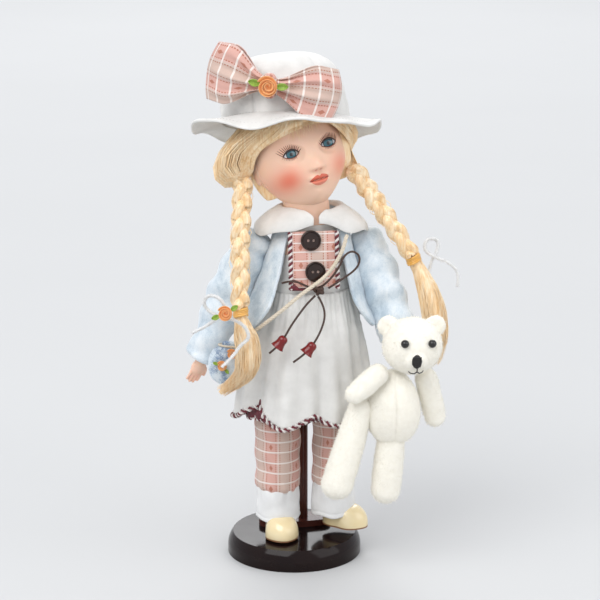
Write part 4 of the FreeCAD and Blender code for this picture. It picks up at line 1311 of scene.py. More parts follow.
    def add_braid(self, side: str, route: list[Vector], hair: bpy.types.Material) -> None:
        """Makes one three-part plait: each part a lock with fine strands on it."""
        length = sum((b - a).length for a, b in zip(route, route[1:]))
        turns = length / 33
        chance = random.Random(side)

        def lock(ply: int, share: float) -> tuple[Vector, Vector, Vector]:
            """Returns a lock's middle and the two directions across the braid."""
            flat, thick = across_of(heading(route, share), Vector((1, 0.2, 0)))
            phase = TAU * (share * turns + ply / 3)
            wide = self.braid_half * (0.52 - 0.06 * share)
            return (along(route, share) + flat * wide * math.sin(phase)
                    + thick * 2.5 * math.sin(2 * phase), flat, thick)

        shapes, lines = [], []
        for ply in range(3):
            rows = int(turns * 40)
            middle = [lock(ply, row / rows)[0] for row in range(rows + 1)]
            shapes.append((
                new_tube(middle, lambda u, v: 3.2 - 0.35 * v, 12, rows, Vector((0.1, -0.3, 1))), 0))
            for _ in range(self.lock_strands):
                turn, far = chance.random() * TAU, chance.uniform(3.0, 3.4)
                twist = chance.uniform(0.3, 1.1)
                line = []
                for row in range(rows + 1):
                    share = row / rows
                    _, flat, thick = lock(ply, share)
                    angle = turn + twist * TAU * share * turns * 0.25
                    out = flat * math.cos(angle) + thick * math.sin(angle)
                    line.append(middle[row] + out * (far - 0.35 * share))
                lines.append(line)
        for _ in range(self.stray_hairs):
            share, reach = chance.uniform(0.05, 0.8), chance.uniform(0.06, 0.14)
            flat, thick = across_of(heading(route, share), Vector((1, 0.2, 0)))
            sway = chance.choice((-1, 1)) * chance.uniform(0.6, 1)
            line = []
            for part in (0, 0.25, 0.5, 0.75, 1):
                spot = along(route, min(1, share + reach * part))
                bow = flat * sway * (5 + 2.2 * math.sin(math.pi * part))
                line.append(spot + bow - thick * chance.uniform(0, 0.3))
            lines.append(line)
        shapes.append((new_strands(lines, self.strand, 0.8), 0))
        make_piece(f"{side}_plait", joined(shapes), [hair], f"{side}_hair", [f"{side}_braid"])

    def add_band(self, side: str, start: Vector, tail: list[Vector], rubber: bpy.types.Material) -> None:
        """Makes the rubber band, wound four times."""
        way = (tail[1] - start).normalized()
        flat, thick = across_of(way, Vector((1, 0.2, 0)))
        line = []
        for step in range(97):
            share = step / 96
            angle = share * TAU * 4
            out = flat * math.cos(angle) + thick * math.sin(angle)
            line.append(start + way * (0.8 + share * 4.4) + out * (4.1 + 0.25 * math.sin(share * 31)))
        shape = new_tube(line, lambda u, v: 0.78, 8, 192, Vector(way))
        make_piece(f"{side}_rubber_band", shape, [rubber], f"{side}_hair", [f"{side}_band"])

    def add_tail(self, side: str, route: list[Vector], hair: bpy.types.Material, curl: int) -> None:
        """Makes the loose hair below a band: hundreds of strands that spread and then draw together."""
        chance = random.Random(side + "tail")
        lines = []
        for _ in range(self.tail_strands):
            turn, far = chance.random() * TAU, chance.random() ** 0.5
            stop = chance.uniform(0.72, 1.0)
            wave, phase = chance.uniform(0.2, 0.8), chance.random() * TAU
            line = []
            for step in range(15):
                share = step / 14 * stop
                flat, thick = across_of(heading(route, share), Vector((1, 0.2, 0)))
                spread = mix(3.3, 7.2, smooth(0.02, 0.42, share)) * mix(1, 0.55, smooth(0.6, 1, share))
                angle = turn + curl * 0.7 * share
                out = flat * math.cos(angle) * 1.05 + thick * math.sin(angle) * 0.8
                line.append(along(route, share) + out * spread * far
                            + flat * wave * math.sin(share * 13 + phase))
            lines.append(line)

        def core_radius(u: float, v: float) -> float:
            """Returns the radius of the solid core under the strands."""
            return mix(3.0, 5.4, smooth(0.02, 0.42, v)) * mix(1, 0.25, smooth(0.55, 0.98, v))

        core = new_tube(route, core_radius, 20, 40)
        shape = joined([(core, 0), (new_strands(lines, self.strand * 1.1, 0.3), 0)])
        make_piece(f"{side}_loose_tail", shape, [hair], f"{side}_hair", [f"{side}_tail"])


# ---------------------------------------------------------------------------------- hat
@dataclass
class Hat:
    """The gored cotton hat with its wavy stitched brim, big plaid bow and ribbon rose."""

    origin: Vector = field(default_factory=lambda: Vector((-4, 1, 268)))
    radius: float = 38.0
    height: float = 47.0
    wide: float = 57.0
    deep: float = 49.0
    drop: float = 7.0
    profile: tuple[tuple[float, float], ...] = (
        (0, 1.0), (0.2, 0.995), (0.42, 0.975), (0.6, 0.93), (0.74, 0.86), (0.86, 0.73), (0.94, 0.54),
        (0.985, 0.3), (1, 0))
    seams: tuple[float, ...] = (-0.62, 0.55, 1.6, 2.7, 3.75, 4.8)
    stitch_pitch: float = 2.3
    stitch_rows: tuple[float, float] = (0.84, 0.08)
    knot: Vector = field(default_factory=lambda: Vector((-19.6, -33.0, 301.8)))

    @property
    def place(self) -> Matrix:
        """Returns the hat's own frame."""
        return (Matrix.Translation(self.origin) @ Matrix.Rotation(math.radians(-5), 4, "Y")
                @ Matrix.Rotation(math.radians(-14), 4, "X"))

    def build(self) -> None:
        """Makes the hat's pieces."""
        cotton = Cotton("hat_cotton").material()
        self.add_crown(cotton)
        self.add_brim(cotton)
        self.add_bow()
        rose = ribbon_rose(Vector((-21.3, -43.2, 302.6)), Vector((-0.15, -1, 0.12)), 6.2, (2.7, -0.15))
        make_piece("hat_ribbon_rose", rose, Ribbon().materials(), "hat", ["hat_rose"])

    def add_crown(self, cotton: bpy.types.Material) -> None:
        """Makes the crown: six gores with sunk seams and soft dents."""
        line = [Vector((out, 0, up)) for up, out in self.profile]

        def place(u: float, v: float) -> Vector:
            """Returns a place on the crown."""
            rim = along(line, v)
            turn = u * TAU
            width = max(rim.x, 0.15)
            seam = max(bump_at(((turn - line_turn + math.pi) % TAU - math.pi) * self.radius * width, 0, 0.9)
                       for line_turn in self.seams)
            puff = 1.3 * smooth(0.05, 0.5, v) * (1 - rim.x ** 8) if rim.x < 1 else 0
            spot = Vector((math.sin(turn) * self.radius * rim.x, -math.cos(turn) * self.radius * rim.x,
                           mix(self.rise(turn), self.height, rim.z)))
            dent = 1.1 * crinkle(spot, 17) + 0.5 * crinkle(spot + Vector((90, 0, 0)), 7)
            band = 0.5 * bump_at(spot.z, 3.0, 0.7)
            out = Vector((math.sin(turn), -math.cos(turn), 0.6 * smooth(0.5, 1, v))) * rim.x
            return self.place @ (spot + out * (puff + dent * min(1, 6 * rim.x) - 1.15 * seam - band))

        shape = new_grid(220, 70, place, (238, 70))
        crown = make_piece("hat_gored_crown", shape, [cotton], "hat", ["hat_crown"], 1.2)

    def rise(self, turn: float) -> float:
        """Returns how much the hat's foot is pushed up at a turn: most over her right brow."""
        return 6.0 + 3.5 * math.cos(turn) - 4.5 * math.sin(turn)

    def brim_at(self, u: float, v: float) -> Vector:
        """Returns a place on the brim, from the crown's foot out to its edge."""
        turn = u * TAU
        across, ahead = math.sin(turn), -math.cos(turn)
        spot = Vector((across * mix(self.radius - 0.3, self.wide, v),
                       ahead * mix(self.radius - 0.3, self.deep, v),
                       self.rise(turn) - self.drop * (0.35 * v + 0.65 * v * v)))
        wave = 2.2 * math.sin(5 * turn + 0.9) + 1.2 * math.sin(9 * turn + 2.2)
        lift = 6.5 * bump_at(across, -1, 0.28) + 2.0 * bump_at(across, 1, 0.25)
        spot.z += v * v * (wave * 0.8 + lift) + 0.25 * v * crinkle(spot, 6)
        return self.place @ spot

    def add_brim(self, cotton: bpy.types.Material) -> None:
        """Makes the wavy brim, with its rolled edge and two rows of stitches."""
        brim = new_grid(240, 16, self.brim_at, (330, 20))
        brim_piece = make_piece("hat_wavy_brim", brim, [cotton], "hat", ["hat_brim"], 1.4, 1)
        edge = [self.brim_at(step / 160, 0.985) for step in range(161)]
        roll = new_tube(edge, lambda u, v: 1.0, 8, 240, Vector((0.1, 0.2, 1)), capped=False)
        hem = make_piece("hat_brim_hem", roll, [cotton], "hat")
        lines = []
        up = self.place.to_3x3() @ Vector((0, 0, 0.85))
        for row in self.stitch_rows:
            count = int(TAU * mix(self.radius, 53, row) / self.stitch_pitch)
            for step in range(count):
                one, other = self.brim_at((step + 0.2) / count, row), self.brim_at((step + 0.8) / count, row)
                lines.append([one + up * 0.75, one.lerp(other, 0.5) + up * 1.05, other + up * 0.75])
        thread = Thread("pale_stitch_thread", (0.70, 0.69, 0.66), (0.52, 0.51, 0.48), 0.3, 0.1).material()
        stitches = make_piece("hat_brim_stitches", new_strands(lines, 0.22, 0.8), [thread],
                              "hat")

    def loop(self, turn: Matrix, length: float, half: float, thick: float,
             pleats: float) -> bmesh.types.BMesh:
        """Returns one loop of the bow: a folded band that fans out from the knot.

        Args:
            turn: The loop's frame, X away from the knot and Z across the ribbon.
            length: How far it reaches.
            half: Half of its width at the outer end.
            thick: How deep it puffs.
            pleats: The phase of its pleats.

        Returns:
            The mesh, with its cloth laid out in millimetres.
        """
        def place(u: float, v: float) -> Vector:
            """Returns a place on the band, from the knot's front out and back behind it."""
            side = u * 2 - 1
            phase = TAU * v
            out = 0.5 - 0.5 * math.cos(phase)
            spread = mix(3.2, half, smooth(0.0, 0.72, out))
            bulge = (thick * math.sin(phase) * (1 - 0.45 * side * side)
                     * (0.55 + 0.45 * math.sin(math.pi * out)))
            pleat = 2.3 * math.cos(side * 9.5 + pleats) + 1.1 * math.cos(side * 17 + 2 * pleats)
            fold = pleat * (1 - out) ** 0.8 * smooth(0, 0.12, out)
            curl = 2.2 * bump_at(out, 1, 0.25) * math.sin(side * 4 + pleats)
            spot = Vector((length * out * (1 - 0.10 * side * side),
                           -bulge - fold * (1 if v < 0.5 else -0.6) + curl * 0.4,
                           spread * side + 1.2 * math.sin(out * 3 + side * 2)))
            return turn @ (spot + Vector((0, 0.5, 0)) * crinkle(spot + Vector((pleats * 9, 0, 0)), 8))

        return new_grid(44, 72, place, (2 * half, 2.15 * length))

    def loop_place(self, shift: Vector, around: float, tilt: float) -> Matrix:
        """Returns a loop's frame from its shift off the knot and its two turns in degrees."""
        return (Matrix.Translation(self.knot + shift) @ Matrix.Rotation(math.radians(around), 4, "Z")
                @ Matrix.Rotation(math.radians(tilt), 4, "Y"))

    def add_bow(self) -> None:
        """Makes the bow's two loops and its knot."""
        plaid = Plaid().material()
        left_way = self.loop_place(Vector((-2, 1.5, 0.5)), 180 - 22, -13)
        left = self.loop(left_way @ Matrix.Rotation(math.pi, 4, "X"), 36, 18.5, 6.5, 0.6)
        right_way = self.loop_place(Vector((3, -1.5, 0.0)), -7, 9)
        right = self.loop(right_way, 40, 16.5, 6.5, 2.1)

        def knot_at(u: float, v: float) -> Vector:
            """Returns a place on the knot."""
            turn, reach = u * TAU, math.cos(math.pi * (v - 0.5)) ** 0.6
            return self.knot + Vector((
                (6.2 + 1.0 * math.cos(turn)) * 0.75 * reach * math.cos(turn),
                -0.5 - (6.0 + 0.7 * math.sin(6 * v * math.pi)) * 0.8 * reach * math.sin(turn),
                7.5 * math.sin(math.pi * (v - 0.5))))

        knot = new_grid(30, 20, knot_at, (26, 20))
        for shape in (left, right):
            bmesh.ops.solidify(shape, geom=shape.faces[:], thickness=0.45 * MM)
        bow = make_piece("plaid_hat_bow", joined([(left, 0), (right, 0), (knot, 0)]), [plaid],
                         "hat", ["hat_bow"])


# ---------------------------------------------------------------------------------- dress
@dataclass
class Dress:
    """The cotton dress: bodice, plaid placket, folded skirt with its corded petals, and the collar."""

    skirt_rings: tuple[tuple[float, ...], ...] = (
        (94, 4, -5, 42, 32.5), (120, 5.5, -5.2, 39, 30.5), (150, 7.4, -5.4, 32.5, 26),
        (172, 8.5, -5.5, 26, 21.5))
    bodice_rings: tuple[tuple[float, ...], ...] = (
        (166, 8.5, -5.5, 25.4, 19.8), (172, 8.5, -5.5, 25.2, 19.5), (190, 8.3, -6, 23, 17.6),
        (207, 8.3, -6.6, 18, 13.4),
        (214, 8.3, -6.6, 15.5, 12.4))
    collar_line: tuple[tuple[float, float, float], ...] = (
        (34.4, 23.8, 208.0), (33.6, 23.4, 212.0), (29, 21.6, 216.6), (23, 19.2, 220.8), (18.8, 16.9, 223.2),
        (16.2, 14.9, 221.0))
    petals: int = 7
    notch_turn: float = math.radians(4)
    notch_rise: float = 8.0
    hem_level: float = 92.2
    placket_top: Vector = field(default_factory=lambda: Vector((8.4, -22.6, 210.9)))
    placket_half: float = 13.0
    placket_long: float = 34.0
    cord_radius: float = 1.7
    cord_pitch: float = 4.4

    @property
    def front(self) -> Matrix:
        """Returns the placket's own frame: X across, -Y out and Z up from its top edge."""
        return Matrix.Translation(self.placket_top) @ Matrix.Rotation(math.radians(-8), 4, "X")

    def build(self) -> None:
        """Makes the dress's pieces."""
        cotton = Cotton("dress_cotton").material()
        self.maroon = Thread("maroon_cord_yarn", (0.20, 0.022, 0.035), (0.07, 0.006, 0.012),
                             0.5, 0.15, 0.6, 0.25).material()
        self.white = Thread("white_cord_yarn", (0.85, 0.82, 0.79), (0.60, 0.56, 0.53),
                            0.5, 0.15, 0.7, 0.25).material()
        self.add_bodice(cotton)
        self.add_skirt(cotton)
        self.add_placket()
        self.add_collar(cotton)

    def add_bodice(self, cotton: bpy.types.Material) -> None:
        """Makes the close-fitting bodice."""
        def place(u: float, v: float) -> Vector:
            """Returns a place on the bodice."""
            spot = on_ring(self.bodice_rings, u * TAU, mix(166, 214, v))
            return spot + (spot - Vector((8.3, -6, spot.z))).normalized() * 0.5 * crinkle(spot, 8)

        piece = make_piece("dress_front_and_back", new_grid(120, 40, place, (145, 48)), [cotton],
                           "doll",
                           ["dress_bodice"], 0.8)

    def hem_at(self, turn: float) -> float:
        """Returns the height of the petalled hem."""
        notch = max(0.0, 1.01 - math.sqrt(math.sin(self.petals / 2 * (turn - self.notch_turn)) ** 2 + 0.02))
        lifted = 6.5 * bump_at(turn % TAU, math.radians(300), math.radians(16))
        return self.hem_level + self.notch_rise * notch ** 1.2 + lifted

    def skirt_at(self, turn: float, up: float) -> Vector:
        """Returns a place on the skirt, a share of the way from the hem to the waist."""
        height = mix(self.hem_at(turn), 173, up)
        low = (1 - up) ** 0.8
        fold = (-2.3 * math.cos(self.petals * (turn - self.notch_turn)) * low
                + 1.3 * math.sin(17 * turn + 1.3 + 2 * up) * low ** 0.6)
        spot = on_ring(self.skirt_rings, turn, height)
        fold += (0.9 * crinkle(Vector((spot.x, spot.y, spot.z * 0.35)), 8)
                 + 0.5 * math.sin(44 * turn) * smooth(0.55, 0.95, up))
        return on_ring(self.skirt_rings, turn, height, fold - 0.6)

    def add_skirt(self, cotton: bpy.types.Material) -> None:
        """Makes the skirt, its twisted cord along the petals, and the maroon facing inside."""
        skirt = make_piece("petal_skirt",
                           new_grid(300, 44, lambda u, v: self.skirt_at(u * TAU, v), (330, 80)), [cotton],
                           "doll", ["skirt"], 1.1)
        edge = []
        for step in range(241):
            spot = self.skirt_at(step / 240 * TAU, 0)
            edge.append(spot + (spot - Vector((4, -5, spot.z))).normalized() * 0.7 + Vector((0, 0, -0.5)))
        cord = joined(list(zip(twisted(edge, self.cord_radius, self.cord_pitch), (0, 1))))
        make_piece("petal_hem_cord", cord, [self.maroon, self.white], "doll", ["hem_trim"])

        def lining(u: float, v: float) -> Vector:
            """Returns a place on the facing."""
            turn = u * TAU
            height = mix(94.3 + 0.8 * math.sin(18 * turn), 107, v)
            return on_ring(self.skirt_rings, turn, height, -3.6 + 0.8 * math.sin(27 * turn) * (1 - v))

        satin = Thread("maroon_satin_cloth", (0.16, 0.018, 0.03), (0.06, 0.006, 0.012),
                       1.6, 0.2, 0.35, 0.4).material()
        facing = make_piece("maroon_facing", new_grid(240, 10, lining, (250, 13)), [satin],
                            "doll",
                            ["hem_facing"], 0.6)
        frill = [lining(step / 270, 0) + Vector((0, 0, 0.4 * math.sin(step))) for step in range(271)]
        ruche = joined(list(zip(twisted(frill, 0.9, 3.0), (0, 1))))
        make_piece("facing_frill_cord", ruche, [self.maroon, self.white], "doll")

    def add_placket(self) -> None:
        """Makes the plaid strip down the front, its twisted trims and the satin corner."""
        def strip(u: float, v: float) -> Vector:
            """Returns a place on the placket."""
            side = u * 2 - 1
            spot = Vector((side * self.placket_half, -1.0 - 0.9 * (1 - side ** 4),
                           -self.placket_long * (1 - v) + 0.5))
            return self.front @ (spot + Vector((0, 0.35, 0)) * crinkle(spot, 6))

        piece = make_piece("plaid_placket", new_grid(40, 50, strip, (26, 34)),
                           [Plaid("placket_plaid", row_mm=5.4).material()],
                           "doll", ["placket"], 1.1)
        plies = []
        for side in (-1, 1):
            line = [self.front @ Vector((side * (self.placket_half + 1.2), -1.2, -step))
                    for step in (0, 9, 18, 27, 34.5)]
            plies += list(zip(twisted(line, 1.5, 3.6), (0, 1)))
        make_piece("placket_twisted_trims", joined(plies), [self.maroon, self.white], "doll",
                   ["placket_trims"])

        def corner(u: float, v: float) -> Vector:
            """Returns a place on the satin corner under the placket."""
            return self.front @ Vector((mix(-14.5, mix(2, -12, v), u), -1.9 - 0.7 * math.sin(u * 5 + v * 3),
                                        -35.2 + 6.5 * v))

        satin = Thread("maroon_corner_satin", (0.20, 0.022, 0.035), (0.07, 0.006, 0.012),
                       1.6, 0.2, 0.3, 0.4).material()
        bit = new_grid(20, 8, corner)
        bmesh.ops.solidify(bit, geom=bit.faces[:], thickness=0.5 * MM)
        make_piece("satin_corner", bit, [satin], "doll")

    def add_collar(self, cotton: bpy.types.Material) -> None:
        """Makes the soft rolled collar, open in a V at the throat."""
        line = [Vector(spot) for spot in self.collar_line]

        def place(u: float, v: float) -> Vector:
            """Returns a place on the collar."""
            roll = along(line, v)
            gap = math.radians(mix(2.5, 25, smooth(0.25, 0.95, v)))
            turn = mix(gap, TAU - gap, u)
            near = min(u, 1 - u)
            spot = Vector((10 + roll.x * math.sin(turn), -3.8 - roll.y * math.cos(turn), roll.z))
            spot.z += 1.1 * (1 - v) * math.sin(7 * turn + 0.6) + 7.5 * (1 - v) ** 0.8 * bump_at(near, 0, 0.09)
            spot.y += 2.2 * (1 - v) * bump_at(near, 0, 0.08)
            spot.z -= 3.4 * bump_at(near, 0, 0.06) * smooth(0.3, 1, v)
            return spot + Vector((0, -1, 0.6)) * 0.8 * crinkle(spot, 9)

        piece = make_piece("soft_rolled_collar", new_grid(150, 26, place, (170, 24)), [cotton],
                           "doll",
                           ["collar"], 1.7, 1)


# ---------------------------------------------------------------------------------- jacket and arms
@dataclass
class Side:
    """One side's limb sizes."""

    name: str
    start: Vector
    end: Vector
    bulge: float
    cuff: float
    reach: float = 0.0
    thumb: int = 1


@dataclass
class Jacket:
    """The short velour jacket with its wide sleeves, and the porcelain hands."""

    rings: tuple[tuple[float, ...], ...] = (
        (149, 8, -5.4, 37, 31.4), (151, 8, -5.4, 36.5, 31), (172, 8.5, -5.5, 30.2, 26.5),
        (190, 9.2, -5.5, 26, 22.5),
        (206, 9.6, -5, 22.5, 16.5), (212, 9.8, -5, 20.5, 15))
    opening: float = math.radians(43)
    shoulder: float = 11.0
    arms: tuple[Side, ...] = field(default_factory=lambda: (
        Side("right", Vector((-27, -1, 197)), Vector((-57, 2, 127.5)), 14.5, 10.6, 80, 1),
        Side("left", Vector((46, -1, 196)), Vector((63, -19, 142)), 13.0, 12.0, 60, -1)))

    def build(self) -> None:
        """Makes the jacket, sleeves and hands."""
        velour = Velour().material()
        self.add_coat(velour)
        skin = Bisque("bisque_hand_skin").material()
        for arm in self.arms:
            self.add_sleeve(arm, velour)
            self.add_hand(arm, skin)

    def add_coat(self, velour: bpy.types.Material) -> None:
        """Makes the back and the two fronts in one, with rounded front corners."""
        def place(u: float, v: float) -> Vector:
            """Returns a place on the coat, from her left front edge round the back."""
            near = min(u, 1 - u)
            low = 150.5 + 17 * max(0.0, 1 - near / 0.085) ** 2.2
            height = mix(low, 211, v)
            turn = mix(self.opening, TAU - self.opening, u)
            spot = on_ring(self.rings, turn, height)
            puff = 1.3 * bump_at(v, 0, 0.10) + 1.4 * bump_at(near, 0, 0.03) * (1 - v)
            fold = (0.9 * math.sin(9 * turn + 2 * v) * (1 - v)
                    + 1.0 * crinkle(Vector((spot.x, spot.y, spot.z * 0.6)), 11))
            flare = (9 * (1 - v) ** 1.2 * bump_at(turn, TAU * 0.81, 0.75)
                     + 5 * (1 - v) ** 1.2 * bump_at(turn, TAU * 0.19, 0.6))
            return on_ring(self.rings, turn, height, puff + fold * 0.8 + flare)

        piece = make_piece("velour_jacket", new_grid(180, 54, place, (160, 62)), [velour],
                           "doll",
                           ["jacket"], 2.2, 1)

    def add_sleeve(self, arm: Side, velour: bpy.types.Material) -> None:
        """Makes a wide sleeve with a rounded head, soft creases and a turned-in hem."""
        way = (arm.end - arm.start).normalized()
        length = (arm.end - arm.start).length
        line = [arm.start - way * self.shoulder, arm.start, arm.start.lerp(arm.end, 0.33),
                arm.start.lerp(arm.end, 0.66),
                arm.end + way * 0.5]

        def radius(u: float, v: float) -> float:
            """Returns the sleeve's radius."""
            run = v * (length + self.shoulder + 0.5)
            if run < self.shoulder:
                body = math.sqrt(max(0.5, self.shoulder ** 2 - (self.shoulder - run) ** 2))
            else:
                part = (run - self.shoulder) / length
                body = mix(self.shoulder, arm.bulge, smooth(0, 0.45, part)) if part < 0.45 else mix(
                    arm.bulge, arm.cuff, smooth(0.45, 1, part))
            around = Vector((math.cos(u * TAU) * 12, math.sin(u * TAU) * 12, run))
            crease = (1.1 * crinkle(around, 10)
                      + 0.9 * math.sin(run * 0.42 + 2.2 * math.cos(u * TAU)) * smooth(12, 25, run))
            hem = 1.0 * bump_at(v, 0.965, 0.02)
            return max(0.6, (body - 0.9 + crease * smooth(4, 14, run) + hem)
                       * (1 - 0.30 * smooth(0.982, 1.0, v)))

        sleeve = new_tube(line, radius, 72, 90, cloth=(84, 80), capped=False)
        piece = make_piece(f"{arm.name}_velour_sleeve", sleeve, [velour], f"{arm.name}_arm",
                           [f"{arm.name}_sleeve"], 1.3)

    def add_hand(self, arm: Side, skin: bpy.types.Material) -> None:
        """Makes the porcelain forearm and hand: a palm, four curled fingers and a thumb, fused smooth."""
        way = (arm.end - arm.start).normalized()
        across, front = across_of(way, Vector((1, 0.3, 0)))
        elbow = arm.start + way * (arm.end - arm.start).length * 0.55
        wrist = arm.start + way * (arm.reach - 1.0)

        def spot(x: float, y: float, z: float) -> Vector:
            """Returns a place from the wrist: X across the hand, Y to its palm, Z to the tips."""
            return wrist + across * x + front * y + way * z

        palm = new_ball(24, 18, lambda d: spot(d.x * 4.8, d.y * 2.9, 3.2 + d.z * 5.4))
        parts = [(palm, 0), (new_tube([elbow, elbow.lerp(wrist, 0.5), spot(0, 0, 0), spot(0, 0, 2)],
                                      lambda u, v: mix(5.2, 3.1, smooth(0, 0.95, v)), 20, 16), 0)]
        for index, reach in enumerate((4.9, 6.2, 6.0, 4.4)):
            x = (index - 1.5) * 2.25
            finger = [spot(x * 0.9, 0, 5), spot(x, -0.2, 8), spot(x * 1.04, -0.7, 8 + reach * 0.55),
                      spot(x * 1.02, -1.5, 8 + reach)]
            parts.append((new_tube(finger, lambda u, v: mix(1.25, 0.8, v) * (1 + 0.1 * math.sin(9 * v)),
                                   10, 10), 0))
        thumb = [spot(arm.thumb * 3, 0, 1.5), spot(arm.thumb * 5.4, -0.5, 4), spot(arm.thumb * 6.2, -1.2, 8)]
        parts.append((new_tube(thumb, lambda u, v: mix(1.7, 1.05, v), 10, 10), 0))
        shape = fused(joined(parts), 0.42, 3)
        tips = wrist + way * 13
        painted(shape, {"blush": lambda p: 0.15 * bump_at((p - tips).length, 0, 8), "lips": lambda p: 0.0,
                        "deep": lambda p: 0.0, "lash_line": lambda p: 0.0})
        make_piece(f"{arm.name}_porcelain_hand", shape, [skin],
                   f"{arm.name}_arm", [f"{arm.name}_forearm"])


def fused(shape: bmesh.types.BMesh, voxel: float, rounds: int) -> bmesh.types.BMesh:
    """Returns one smooth skin round a mesh's overlapping parts.

    Args:
        shape: The parts, which are used up.
        voxel: The remesh size in millimetres.
        rounds: How often the skin is smoothed.

    Returns:
        The fused mesh.
    """
    mesh = bpy.data.meshes.new("fusing")
    shape.to_mesh(mesh)
    shape.free()
    holder = bpy.data.objects.new("fusing", mesh)
    bpy.context.scene.collection.objects.link(holder)
    remesh = holder.modifiers.new("remesh", "REMESH")
    remesh.mode = "VOXEL"
    remesh.voxel_size = voxel * MM
    bpy.context.view_layer.update()
    result = bpy.data.meshes.new_from_object(holder.evaluated_get(bpy.context.evaluated_depsgraph_get()))
    whole = bmesh.new()
    whole.from_mesh(result)
    bpy.data.objects.remove(holder)
    bpy.data.meshes.remove(mesh)
    bpy.data.meshes.remove(result)
    for _ in range(rounds):
        bmesh.ops.smooth_vert(whole, verts=whole.verts, factor=0.5, use_axis_x=True, use_axis_y=True,
                              use_axis_z=True)
    return whole


